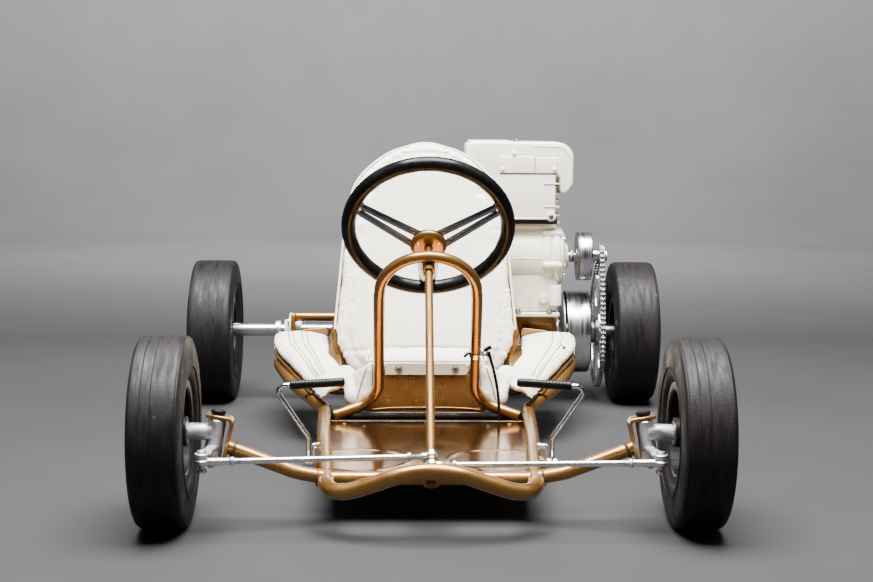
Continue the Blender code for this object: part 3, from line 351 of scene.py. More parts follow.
def bend(corners, radius, steps=10):
    """The corner points, each inner one replaced by an arc."""
    corners = [Vector(c) for c in corners]
    path = [corners[0]]
    for before, corner, after in zip(corners, corners[1:], corners[2:]):
        into, out = (before - corner).normalized(), (after - corner).normalized()
        angle = into.angle(out)
        if angle > math.radians(176):
            path.append(corner)
            continue
        most = 0.49 * min((before - corner).length, (after - corner).length)
        reach = min(radius / math.tan(angle / 2), most)
        first, last = corner + into * reach, corner + out * reach
        centre = corner + (into + out).normalized() * (reach / math.cos(angle / 2))
        a, b = first - centre, last - centre
        swing = a.angle(b)
        for i in range(steps + 1):
            t = i / steps
            path.append(centre + (a * math.sin((1 - t) * swing) + b
                                  * math.sin(t * swing)) / math.sin(swing))
    return path + [corners[-1]]


class Shape:
    """One mesh made of several shapes, each with its own material."""

    def __init__(self):
        self.bm = bmesh.new()
        self.materials = []

    def faces(self, points, faces, material, matrix=None):
        if material not in self.materials:
            self.materials.append(material)
        index = self.materials.index(material)
        if matrix is not None:
            points = [matrix @ Vector(p) for p in points]
        verts = [self.bm.verts.new(p) for p in points]
        for face in faces:
            if len(set(face)) > 2:
                self.bm.faces.new([verts[i] for i in face]).material_index = index
        return self

    def copied(self, bm, material, matrix=None):
        bm.verts.index_update()
        self.faces([v.co.copy() for v in bm.verts], [[v.index for v in f.verts] for f in bm.faces],
                   material, matrix)
        bm.free()
        return self

    def lathe(self, profile, matrix, material, steps=48, closed=False, uneven=None):
        """Turns the profile, (radius, height), round the matrix's Z."""
        points, faces = [], []
        n = len(profile)
        for i in range(steps):
            a = 2 * math.pi * i / steps
            for j, (r, h) in enumerate(profile):
                extra = uneven(a, j) if uneven else 0.0
                points.append(((r + extra) * math.cos(a), (r + extra) * math.sin(a), h))
        for i in range(steps):
            k = (i + 1) % steps
            for j in range(n if closed else n - 1):
                m = (j + 1) % n
                faces.append((i * n + j, k * n + j, k * n + m, i * n + m))
        if not closed:
            for j, flip in ((0, True), (n - 1, False)):
                if profile[j][0] > 1e-6:
                    ring = [i * n + j for i in range(steps)]
                    faces.append(tuple(ring[::-1] if flip else ring))
        return self.faces(points, faces, material, matrix)

    def tube(self, path, radius, material, sides=20, closed=False, caps=True, profile=None):
        """A round tube along the path. The radius is one number, or one for each point."""
        path = [Vector(p) for p in path]
        count = len(path)
        radii = radius if isinstance(radius, (list, tuple)) else [radius] * count
        tangents = []
        for i in range(count):
            a = path[(i - 1) % count] if closed or i else path[i]
            b = path[(i + 1) % count] if closed or i + 1 < count else path[i]
            tangents.append((b - a).normalized())
        up = tangents[0].orthogonal().normalized()
        points, faces = [], []
        for i in range(count):
            if i:
                up = tangents[i - 1].rotation_difference(tangents[i]) @ up
            side = tangents[i].cross(up).normalized()
            up = side.cross(tangents[i]).normalized()
            for k in range(sides):
                a = 2 * math.pi * k / sides
                wide, tall = profile(a) if profile else (math.cos(a), math.sin(a))
                points.append(path[i] + (up * wide + side * tall) * radii[i])
        for i in range(count if closed else count - 1):
            j = (i + 1) % count
            for k in range(sides):
                m = (k + 1) % sides
                faces.append((i * sides + k, i * sides + m, j * sides + m, j * sides + k))
        if caps and not closed:
            faces.append(tuple(range(sides))[::-1])
            faces.append(tuple((count - 1) * sides + k for k in range(sides)))
        return self.faces(points, faces, material)

    def rod(self, start, end, radius, material, sides=24, bevel=0.0006, radius2=None):
        """A round bar with broken edges."""
        start, end = Vector(start), Vector(end)
        length = (end - start).length
        r2 = radius if radius2 is None else radius2
        b = min(bevel, radius * 0.4, length * 0.3)
        profile = [(radius - b, 0), (radius, b), (r2, length - b), (r2 - b, length)]
        return self.lathe(profile, placed(start, end - start), material, sides)

    def block(self, low, high, material, bevel=0.001, segments=2, matrix=None):
        low, high = Vector(map(min, low, high)), Vector(map(max, low, high))
        bm = bmesh.new()
        bmesh.ops.create_cube(bm, size=1)
        bm.transform(Matrix.Translation((low + high) / 2) @ Matrix.Diagonal((*(high - low), 1)))
        if bevel:
            bmesh.ops.bevel(bm, geom=bm.edges[:], offset=bevel, segments=segments, affect="EDGES",
                            profile=0.6)
        return self.copied(bm, material, matrix)

    def plate(self, outline, thick, matrix, material, bevel=0.0005):
        bm = bmesh.new()
        face = bm.faces.new([bm.verts.new((x, y, -thick / 2)) for x, y in outline])
        grown = bmesh.ops.extrude_face_region(bm, geom=[face])
        bmesh.ops.translate(bm, verts=[v for v in grown["geom"] if isinstance(v, bmesh.types.BMVert)],
                            vec=(0, 0, thick))
        bmesh.ops.recalc_face_normals(bm, faces=bm.faces)
        if bevel:
            bmesh.ops.bevel(bm, geom=bm.edges[:], offset=bevel, segments=1, affect="EDGES")
        return self.copied(bm, material, matrix)

    def hexagon(self, centre, axis, radius, height, material, near=None, dome=True):
        """A bolt's head or a nut, standing on the centre."""
        outline = [(radius * math.cos(math.radians(60 * i)), radius * math.sin(math.radians(60 * i)))
                   for i in range(6)]
        matrix = placed(Vector(centre) + Vector(axis).normalized() * height / 2, axis, near)
        self.plate(outline, height, matrix, material, bevel=min(0.0006, height * 0.2))
        if dome:
            self.lathe([(radius * 0.62, 0), (radius * 0.5, height * 0.12), (radius * 0.35, height * 0.12)],
                       placed(Vector(centre) + Vector(axis).normalized() * height, axis), material, 16)
        return self

    def disc(self, centre, axis, radius, height, sides):
        """A plated washer under a bolt's head."""
        return self.lathe([(0.0001, 0), (radius, 0), (radius, height), (0.0001, height)],
                          placed(centre, axis), ZINC,
                          sides)

    def thread(self, start, end, radius, material, pitch=0.00125):
        """A screw thread as fine rings along the bar."""
        start, end = Vector(start), Vector(end)
        length = (end - start).length
        turns = max(2, int(length / pitch))
        profile = []
        for i in range(turns):
            profile += [(radius * 0.90, length * i / turns), (radius, length * (i + 0.5) / turns)]
        profile.append((radius * 0.90, length))
        return self.lathe(profile, placed(start, end - start), material, 16)

    def weld(self, centre, axis, radius, material, bead=0.0026, steps=56):
        """A bead of weld in a ring."""
        matrix = placed(centre, axis)
        path, sizes = [], []
        for i in range(steps):
            a = 2 * math.pi * i / steps
            lump = noise.noise(Vector((math.cos(a) * 3, math.sin(a) * 3, radius * 90)))
            ripple = 1 + 0.10 * math.sin(a * 14) + 0.14 * lump
            path.append(matrix @ Vector((radius * math.cos(a), radius * math.sin(a),
                                         0.0004 * math.sin(5 * a))))
            sizes.append(bead * ripple)
        return self.tube(path, sizes, material, 8, closed=True)

    def grid(self, columns, rows, place, material, wrap=False):
        """A surface from place(u, v)."""
        points = [place(i / columns, j / rows) for j in range(rows + 1)
                  for i in range(columns + (0 if wrap else 1))]
        n = columns + (0 if wrap else 1)
        faces = []
        for j in range(rows):
            for i in range(columns):
                k = (i + 1) % n
                faces.append((j * n + i, j * n + k, (j + 1) * n + k, (j + 1) * n + i))
        return self.faces(points, faces, material)

    def made(self, name, body, slot, *nodes, angle=38, body_shift=True, weld=2e-6, normals=True):
        """The finished piece, riding on a body and standing for CAD nodes."""
        bmesh.ops.remove_doubles(self.bm, verts=self.bm.verts, dist=weld)
        if normals:
            bmesh.ops.recalc_face_normals(self.bm, faces=self.bm.faces)
        mesh = bpy.data.meshes.new(name)
        self.bm.to_mesh(mesh)
        self.bm.free()
        for material in self.materials:
            mesh.materials.append(material)
        mesh.shade_smooth()
        mesh.set_sharp_from_angle(angle=math.radians(angle))
        obj = bpy.data.objects.new(name, mesh)
        bpy.context.scene.collection.objects.link(obj)
        if body_shift:
            obj.location = SHIFT
        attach(obj, body)
        if nodes:
            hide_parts(*nodes)
        return obj


# ---------------------------------------------------------------- frame
RAIL_Z = 0.065
RAIL_R = 0.011
BUMPER_R = RAIL_R + 0.0006
STUB_TUBE_R = 0.0100
KINGPIN_TILT = Vector((0.1465, 0, 0.989)).normalized()


def tube_frame():
    s = Shape()
    for side in (1, -1):
        def at(x, y, z, side=side):
            return Vector((x * side, y, z))

        s.tube(smooth_path([at(0.147, 0.000, RAIL_Z), at(0.1565, 0.15, RAIL_Z), at(0.166, 0.30, RAIL_Z),
                            at(0.1715, 0.42, 0.0655), at(0.176, 0.535, 0.066)], 6), RAIL_R, GOLD, 28)
        s.tube(bend([at(0.174, 0.531, 0.066), at(0.236, 0.610, 0.098), at(0.270, 0.72, 0.118),
                     at(0.262, 0.90, 0.116), at(0.250, 0.985, 0.118)], 0.12, 12), RAIL_R, GOLD, 28)
        s.tube(bend([at(0.146, 0.014, 0.066), at(0.190, 0.006, 0.0755), at(0.2865, 0, 0.1135)], 0.12, 14),
               STUB_TUBE_R, GOLD, 28)
        # Weld beads where the tubes meet
        s.weld(at(0.160, 0.012, 0.0672), at(1, -0.03, 0.10), 0.0106, WORN, 0.0020)
        s.weld(at(0.149, 0.030, RAIL_Z), at(0.06, 1, 0), 0.0104, GOLD, 0.0016)
        s.weld(at(0.179, 0.538, 0.069), at(0.55, 0.70, 0.30), 0.0095, GOLD, 0.0018)
        s.weld(at(0.257, 0.820, 0.1118), at(1, 0, 0.6), 0.0082, GOLD, 0.0018)
        s.weld(at(0.277, 0.0005, 0.1100), at(1, 0, 0.38), 0.0102, WORN, 0.0022)
        # The middle cross tube's weld, near-black like the tube: painted shade under the seat's front
        s.weld(at(0.160, 0.518, 0.0600), at(1, 0, 0), 0.0064, BLACK_PAINT_AND_SHADE, 0.0016)
        # Yoke: one bent strap that holds the kingpin at both ends
        tilt = mirror_x(KINGPIN_TILT, -side)
        out = Vector((tilt.z, 0, -tilt.x)) * side
        centre = at(0.303, 0, 0.126)
        turn = Matrix(((out.x, tilt.x, 0, centre.x), (out.y, tilt.y, 1, centre.y),
                       (out.z, tilt.z, 0, centre.z), (0, 0, 0, 1)))
        strap = [(0.016, -0.0310), (-0.0170, -0.0310), (-0.0215, 0.0310), (0.016, 0.0310)]
        line = bend([(x, y, 0) for x, y in strap], 0.0075, 8)
        half = 0.00245
        offset = []
        for i, p in enumerate(line):
            a, b = line[max(i - 1, 0)], line[min(i + 1, len(line) - 1)]
            d = (b - a).normalized()
            offset.append(Vector((d.y, -d.x, 0)) * half)
        outline = [(p + o).xy for p, o in zip(line, offset)]
        outline += [(p - o).xy for p, o in zip(line[::-1], offset[::-1])]
        s.plate([tuple(p) for p in outline], 0.0240, turn, GOLD, bevel=0.0007)
        # Bearing hanger on the side tube
        s.lathe([(0.0218, 0.2565), (0.0300, 0.2565), (0.0310, 0.2575), (0.0310, 0.2645), (0.0300, 0.2655),
                 (0.0218, 0.2655)], Matrix.Translation((0, REAR_Y, AXLE_Z)) @ turn_to(X * side, Y), GOLD,
                40, True)
        s.plate([(0.970, 0.112), (1.000, 0.112), (1.010, 0.120), (0.996, 0.130), (0.992, 0.150),
                 (0.996, 0.160),
                 (1.004, 0.168), (0.996, 0.176), (0.970, 0.176)], 0.0085,
                Matrix(((0, 0, side, 0.261 * side), (1, 0, 0, 0), (0, 1, 0, 0), (0, 0, 0, 1))), GOLD,
                0.0008)
        s.weld(at(0.251, 0.984, 0.1182), at(0, 1, 0), 0.0106, GOLD, 0.0018)
        s.weld(at(0.2560, 0.985, 0.1705), at(1, 0, 0), 0.0088, GOLD, 0.0018)
        # Pedal pin and its lug
        s.block(at(0.1575, 0.0505, 0.0670), at(0.1650, 0.0695, 0.0855), GOLD, 0.0015, 3)
        s.rod(at(0.160, 0.060, 0.078), at(0.1825, 0.060, 0.078), 0.0035, CHROME, 20)
        s.lathe([(0.0036, 0), (0.0062, 0), (0.0062, 0.0010), (0.0036, 0.0010)],
                placed(at(0.1818, 0.060, 0.078), X * side), ZINC, 20, True)
    s.rod((-0.147, 0.015, RAIL_Z), (0.147, 0.015, RAIL_Z), STUB_TUBE_R, GOLD, 28)
    # Middle cross tube, drawn near-black: painted shade in the dark gap between the floor pan and the seat
    # base
    s.rod((-0.172, 0.518, 0.0585), (0.172, 0.518, 0.0585), 0.0065, BLACK_PAINT_AND_SHADE, 20)
    s.tube(bend([(-0.266, 0.820, 0.116), (-0.180, 0.820, 0.050), (0.180, 0.820, 0.050),
                 (0.266, 0.820, 0.116)],
                0.04, 8), 0.0085, GOLD, 24)
    s.rod((-0.262, 0.985, 0.1705), (0.262, 0.985, 0.1705), 0.0090, GOLD, 24)
    # Lower column lug, a small plate with a bush
    s.plate([(-0.014, -0.022), (0.014, -0.022), (0.0125, 0.004), (0.009, 0.0115), (-0.009, 0.0115),
             (-0.0125, 0.004)],
            0.0080, placed(SHAFT_LOW + SHAFT_AXIS * 0.030, SHAFT_AXIS, -X), GOLD, 0.0007)
    s.weld(SHAFT_LOW + SHAFT_AXIS * 0.030 - SHAFT_UP * 0.018, SHAFT_UP, 0.0120, GOLD, 0.0018)
    s.lathe([(0.0078, -0.0052), (0.0108, -0.0052), (0.0108, 0.0052), (0.0078, 0.0052)],
            placed(SHAFT_LOW + SHAFT_AXIS * 0.030, SHAFT_AXIS), GOLD, 32, True)
    s.made("frame_tubes", "frame", "gold_paint", "main_frame")

    s = Shape()
    half = [(0.147, -0.0105, 0.0665), (0.145, -0.036, 0.067), (0.134, -0.058, 0.064),
            (0.112, -0.070, 0.067),
            (0.078, -0.078, 0.079), (0.040, -0.084, 0.0925), (0, -0.086, 0.0980)]
    line = smooth_path(half + [(-x, y, z) for x, y, z in half[-2::-1]], 10)
    s.tube(line, BUMPER_R, GOLD, 32)
    for side in (1, -1):
        s.weld(Vector((0.147 * side, -0.0105, 0.0665)), (0, 1, 0), 0.0101, WORN, 0.0020)
    s.made("front_bumper_tube", "frame", "gold_paint", "front_bumper")


# ---------------------------------------------------------------- steering
SHAFT_LOW = Vector((0, -0.0242, 0.0681))
SHAFT_HUB = Vector((0, 0.390, 0.362))
SHAFT_AXIS = (SHAFT_HUB - SHAFT_LOW).normalized()
SHAFT_UP = Vector((0, -SHAFT_AXIS.z, SHAFT_AXIS.y))
PITMAN_END = SHAFT_LOW + SHAFT_UP * 0.045
RIM_R = 0.1315
RIM_GRIP_R = 0.0120
RIM_RISE = 0.050
HOOP_R = 0.0093
COLUMN_R = 0.0064
TIE_ROD_R = 0.0042
HOOP_TOP = SHAFT_LOW + SHAFT_AXIS * 0.4625 + SHAFT_UP * 0.0185


def on_hoop(x, down):
    return HOOP_TOP + X * x - SHAFT_UP * down


def hoop():
    s = Shape()
    arc = [on_hoop(0.079 * math.cos(a), 0.076 - 0.076 * math.sin(a))
           for a in [math.radians(6 * i) for i in range(31)]]
    right = bend([on_hoop(0.0800, 0.085), on_hoop(0.0805, 0.12), on_hoop(0.083, 0.328),
                  (0.1595, 0.5100, 0.0610)],
                 0.060, 12)
    line = right[::-1] + arc + [mirror_x(p, -1) for p in right]
    s.tube(line, HOOP_R, GOLD, 32)
    for side in (1, -1):
        s.weld((0.1560 * side, 0.5105, 0.0620), (0.9 * side, 0, -0.2), 0.0085, GOLD, 0.0018)
    a, b = SHAFT_LOW + SHAFT_AXIS * 0.444, SHAFT_LOW + SHAFT_AXIS * 0.481
    s.lathe([(0.0074, 0), (0.0098, 0), (0.0105, 0.0007), (0.0105, 0.0363), (0.0098, 0.037),
             (0.0074, 0.037)],
            placed(a, SHAFT_AXIS), GOLD, 36, True)
    s.weld((a + b) / 2 + SHAFT_UP * 0.0085, SHAFT_UP, 0.0078, GOLD, 0.0018)
    s.made("hoop_tube", "frame", "gold_paint", "steering_hoop")

    s = Shape()
    leg = on_hoop(0.0813, 0.214)
    s.lathe([(0.0098, -0.0044), (0.0112, -0.0046), (0.0114, 0), (0.0112, 0.0046), (0.0098, 0.0044)],
            placed(leg, SHAFT_UP), CHROME, 40, True)
    for y in (-0.0060, 0.0020):
        s.block(leg + Vector((0.0100, y - 0.0012, -0.0045)), leg + Vector((0.0200, y + 0.0012, 0.0045)),
                ZINC, 0.0008)
    s.rod(leg + X * 0.0150 - Y * 0.0120, leg + X * 0.0150 + Y * 0.0140, 0.0024, ZINC, 14)
    s.hexagon(leg + X * 0.0150 - Y * 0.0075, -Y, 0.0044, 0.0036, ZINC)
    s.hexagon(leg + X * 0.0150 + Y * 0.0035, Y, 0.0044, 0.0036, ZINC)
    s.lathe([(0.0016, 0), (0.0040, 0), (0.0040, 0.0060), (0.0026, 0.0090), (0.0016, 0.0090)],
            placed(leg + Vector((0.0215, -0.001, 0.0030)), (0.2, 0.1, -1)), GLOSS_BLACK, 16)
    s.tube(smooth_path([leg + Vector((0.0150, -0.0040, 0.0040)), leg + Vector((0.0200, -0.0060, 0.0090)),
                        leg + Vector((0.0260, -0.0070, 0.0120))], 5), 0.0034, GLOSS_BLACK, 12)
    s.tube(smooth_path([leg + Vector((-0.0095, -0.0060, 0.0010)), leg + Vector((-0.0150, -0.0060, -0.0010)),
                        leg + Vector((-0.0190, -0.0050, -0.0060))], 5), 0.0024, GLOSS_BLACK, 12)
    s.made("hoop_cable_clamp", "frame", "steel", "hoop_clamp")

    s = Shape()
    s.tube(smooth_path([leg + Vector((0.0235, -0.001, -0.002)), leg + Vector((0.0290, 0.000, -0.022)),
                        (0.1130, 0.4800, 0.1450), (0.1190, 0.4880, 0.1180), (0.1225, 0.4880, 0.0900),
                        (0.1235, 0.4900, 0.0560)], 10), 0.0026, CABLE, 12)
    s.made("throttle_cable_line", "frame", "black_plastic", "throttle_cable")


def column():
    s = Shape()
    # The column uses the darker copy of the gold paint: painted shade
    s.rod(SHAFT_LOW - SHAFT_AXIS * 0.006, SHAFT_HUB + SHAFT_AXIS * 0.010, COLUMN_R, SHAFT_GOLD_SHADED, 32)
    for height, material in ((0.4865, GOLD), (0.0150, ZINC)):
        s.lathe([(0.0069, 0), (0.0098, 0), (0.0100, 0.0003), (0.0100, 0.0030), (0.0098, 0.0033),
                 (0.0069, 0.0033)],
                placed(SHAFT_LOW + SHAFT_AXIS * (height - 0.0016), SHAFT_AXIS), material, 28, True)
    near = placed(SHAFT_LOW, SHAFT_AXIS, -X)
    outline = []
    for i in range(13):
        a = math.pi + math.pi * i / 12
        outline.append((0.0120 * math.cos(a), 0.0120 * math.sin(a) * 0.85))
    for i in range(13):
        a = math.pi * i / 12
        outline.append((0.0090 * math.cos(a), 0.0450 + 0.0088 * math.sin(a)))
    s.plate(outline, 0.0050, near, GOLD, 0.0006)
    s.weld(SHAFT_LOW + SHAFT_AXIS * 0.0030, SHAFT_AXIS, 0.0072, GOLD, 0.0016)
    s.rod(PITMAN_END - SHAFT_AXIS * 0.0165, PITMAN_END + SHAFT_AXIS * 0.0165, 0.0035, ZINC, 20)
    s.hexagon(PITMAN_END - SHAFT_AXIS * 0.0135, -SHAFT_AXIS, 0.0066, 0.0036, ZINC)
    s.hexagon(PITMAN_END + SHAFT_AXIS * 0.0135, SHAFT_AXIS, 0.0066, 0.0036, ZINC)
    s.made("column_shaft", "steering", "gold_paint", "steering_shaft")

    # The wheel's hub: a dished boss with three rivets, and a nut on the column's end
    s = Shape()
    s.lathe([(0.0071, -0.0028), (0.0225, -0.0028), (0.0245, -0.0022), (0.0298, 0.0022), (0.0300, 0.0030),
             (0.0300, 0.0050), (0.0294, 0.0055), (0.0115, 0.0055), (0.0102, 0.0066), (0.0100, 0.0180),
             (0.0092, 0.0190), (0.0071, 0.0190)], placed(SHAFT_HUB, SHAFT_AXIS, X), GOLD, 64, True)
    for angle in (0.52, 2.62, 4.71):
        c = SHAFT_HUB + (X * math.cos(angle) + SHAFT_UP * math.sin(angle)) * 0.019
        s.lathe([(0.0001, -0.0070), (0.0012, -0.0068), (0.0021, -0.0058), (0.0025, -0.0040),
                 (0.0025, -0.0025)],
                placed(c, SHAFT_AXIS), STEEL, 16)
    s.hexagon(SHAFT_HUB + SHAFT_AXIS * 0.0110, SHAFT_AXIS, 0.0088, 0.0070, ZINC)
    s.made("wheel_hub", "steering", "gold_paint", "steering_hub")

    s = Shape()
    s.lathe([(0.0114, 0.0060), (0.0280, 0.0060), (0.0285, 0.0065), (0.0285, 0.0105), (0.0280, 0.0110),
             (0.0114, 0.0110)], placed(SHAFT_HUB, SHAFT_AXIS), SPOKE, 48, True)
    for degrees in (20, 160, 270):
        a = math.radians(degrees)
        radial = X * math.cos(a) + SHAFT_UP * math.sin(a)
        across = SHAFT_AXIS.cross(radial)
        for way in (-1, 1):
            inner = SHAFT_HUB + SHAFT_AXIS * 0.0085 + radial * 0.017 + across * 0.0125 * way
            outer = SHAFT_HUB + SHAFT_AXIS * RIM_RISE + radial * (RIM_R - 0.0040) + across * 0.0058 * way
            # A pressed strap: flat at the ends, a rolled rib along its middle
            def strap(u, v, inner=inner, outer=outer, across=across, way=way):
                p = inner.lerp(outer, v)
                along = (outer - inner).normalized()
                face = along.cross(across).normalized()
                half = 0.0066 * (1.0 + 0.15 * (1 - v))
                a = 2 * math.pi * u
                rib = 0.0011 * math.exp(-((math.cos(a) * 1.9) ** 2)) * min(1, 8 * v, 8 * (1 - v))
                height = 0.0012 * math.sin(a) - (rib if math.sin(a) < 0 else 0)
                return p + across * half * math.cos(a) + face * height

            s.grid(20, 24, strap, SPOKE, wrap=True)
    s.made("wheel_spokes", "steering", "chrome", "steering_spokes")

    # The rim: an oval section with a softly scalloped underside for the fingers
    s = Shape()
    centre = placed(SHAFT_HUB + SHAFT_AXIS * RIM_RISE, SHAFT_AXIS, X)
    points, steps, sides = [], 144, 28
    for i in range(steps):
        a = 2 * math.pi * i / steps
        swell = 1 + 0.022 * math.cos(a * 24)
        for k in range(sides):
            b = 2 * math.pi * k / sides
            r = RIM_GRIP_R * (swell if math.cos(b) < 0.2 else 1)
            points.append(((RIM_R + r * math.cos(b)) * math.cos(a), (RIM_R + r * math.cos(b)) * math.sin(a),
                           RIM_GRIP_R * math.sin(b)))
    faces = [(i * sides + k, (i + 1) % steps * sides + k, (i + 1) % steps * sides + (k + 1) % sides,
              i * sides + (k + 1) % sides) for i in range(steps) for k in range(sides)]
    s.faces(points, faces, GLOSS_BLACK, centre)
    for degrees in (20, 160, 270):
        a = math.radians(degrees)
        radial = X * math.cos(a) + SHAFT_UP * math.sin(a)
        p = SHAFT_HUB + SHAFT_AXIS * 0.0480 + radial * (RIM_R - 0.0120)
        s.block((-0.0125, -0.0030, -0.0024), (0.0125, 0.0040, 0.0024), SPOKE, 0.001, 2,
                placed(p, SHAFT_AXIS, SHAFT_AXIS.cross(radial)))
    s.made("wheel_rim", "steering", "black_plastic", "steering_rim", angle=60)


ARM_END = Vector((0.314, -0.062, 0.105))


def tie_rods():
    for name, side in (("left", 1), ("right", -1)):
        s = Shape()
        ring = PITMAN_END - SHAFT_AXIS * 0.0080 * side
        end = mirror_x(ARM_END, side)
        way = (end - ring).normalized()
        s.rod(ring + way * 0.0330, end - way * 0.0420, TIE_ROD_R, ZINC, 24)
        s.thread(ring + way * 0.0130, ring + way * 0.0290, 0.0036, ZINC)
        s.thread(end - way * 0.0540, end - way * 0.0430, 0.0045, ZINC)
        for at, axis, r_out, r_hole, half, neck in ((ring, SHAFT_AXIS, 0.0090, 0.0042, 0.0038, 0.0150),
                                                    (end, Z, 0.0105, 0.0050, 0.0034, 0.0380)):
            d = way if at is ring else -way
            s.lathe([(r_hole, -half), (r_out - 0.0010, -half), (r_out, -half + 0.001),
                     (r_out, half - 0.001),
                     (r_out - 0.0010, half), (r_hole, half)], placed(at, axis), ZINC, 36, True)
            s.lathe([(0.0062, 0.0060), (0.0054, 0.0110), (0.0052, neck - 0.001), (0.0046, neck)],
                    placed(at, d), ZINC, 24)
            nut = at + d * (0.0285 if at is ring else 0.0385)
            s.hexagon(nut, d, 0.0066, 0.0052, ZINC, dome=False)
        s.made("tie_rod_bar_" + name, "tie_rod_" + name, "steel", "tie_rod_" + name)


# ---------------------------------------------------------------- front corners
def spindles():
    for name, side in (("left", 1), ("right", -1)):
        tilt = mirror_x(KINGPIN_TILT, -side)
        knuckle = mirror_x((0.303, 0, 0.126), side)
        stub_z = middle_of("tyre_front_" + name).z
        arm_end = mirror_x(ARM_END, side)
        s = Shape()
        # Cast barrel round the kingpin, a boss for the stub and fillets between them
        s.lathe([(0.0057, -0.0275), (0.0112, -0.0275), (0.0124, -0.0264), (0.0126, -0.0200),
                 (0.0121, -0.0060),
                 (0.0123, 0.0080), (0.0128, 0.0200), (0.0126, 0.0264), (0.0114, 0.0275), (0.0057, 0.0275)],
                placed(knuckle, tilt), SILVER, 36, True)
        s.lathe([(0.0150, 0), (0.0128, 0.0060), (0.0120, 0.0120), (0.0120, 0.0330), (0.0112, 0.0355),
                 (0.0080, 0.0355)],
                placed((0.304 * side, 0, stub_z), X * side), SILVER, 36)
        s.rod((0.3300 * side, 0, stub_z), (0.4115 * side, 0, stub_z), 0.0078, STEEL, 28)
        s.lathe([(0.0079, 0), (0.0128, 0), (0.0128, 0.0018), (0.0079, 0.0018)],
                placed((0.4065 * side, 0, stub_z), X * side), ZINC, 32, True)
        s.hexagon((0.4080 * side, 0, stub_z), X * side, 0.0115, 0.0055, ZINC)
        # Forged steering arm: thick at the barrel, an eye at the rod's bolt
        rows = []
        for i in range(15):
            t = i / 14
            p = knuckle.lerp(arm_end, t)
            p.z = 0.1135 + 0.0006 * math.sin(t * math.pi)
            rows.append((p, 0.0105 - 0.0040 * math.sin(min(1, t * 1.15) * math.pi) * 0.9,
                         0.0034 + 0.0012 * (1 - t)))

        def arm(u, v, rows=rows):
            i = min(int(v * 14), 13)
            t = v * 14 - i
            p = rows[i][0].lerp(rows[i + 1][0], t)
            wide = rows[i][1] * (1 - t) + rows[i + 1][1] * t
            tall = rows[i][2] * (1 - t) + rows[i + 1][2] * t
            a = 2 * math.pi * u
            c, d = math.cos(a), math.sin(a)
            flank = X * wide * math.copysign(abs(c) ** 0.6, c)
            return p + flank + Z * tall * math.copysign(abs(d) ** 0.7, d)

        s.grid(24, 28, arm, SILVER, wrap=True)
        top = arm_end.copy()
        top.z = 0.1135
        s.lathe([(0.0030, -0.0036), (0.0088, -0.0036), (0.0096, -0.0028), (0.0096, 0.0028),
                 (0.0088, 0.0036),
                 (0.0030, 0.0036)], placed(top, Z), SILVER, 32, True)
        s.rod(arm_end - Z * 0.0155, arm_end + Z * 0.0120, 0.0038, ZINC, 20)
        s.hexagon(arm_end - Z * 0.0150, Z, 0.0070, 0.0050, ZINC, dome=False)
        s.hexagon(arm_end + Z * 0.0122, Z, 0.0068, 0.0036, ZINC)
        # A rib on the barrel, where the casting mould parted
        s.tube([knuckle + tilt * h + Y * -0.0122 for h in (-0.024, -0.008, 0.008, 0.024)], 0.0012, SILVER,
               8)
        s.made("spindle_casting_" + name, "spindle_" + name, "cast_aluminium", "spindle_" + name)

        s = Shape()
        s.rod(knuckle - tilt * 0.0370, knuckle + tilt * 0.0350, 0.0048, STEEL, 24)
        s.hexagon(knuckle + tilt * 0.0341, tilt, 0.0104, 0.0060, BLACK_PAINT_AND_SHADE)
        s.hexagon(knuckle - tilt * 0.0341, -tilt, 0.0084, 0.0058, ZINC)
        s.thread(knuckle - tilt * 0.0400, knuckle - tilt * 0.0425, 0.0046, ZINC)
        s.made("kingpin_bolt_" + name, "frame", "steel", "kingpin_" + name)


# ---------------------------------------------------------------- wheels and tyres
AXLE_R = 0.0127


def arc_profile(points, steps=6):
    """The profile's line, made smooth, as (radius, place) pairs."""
    return [(p.x, p.y) for p in smooth_path([(r, h, 0) for r, h in points], steps)]


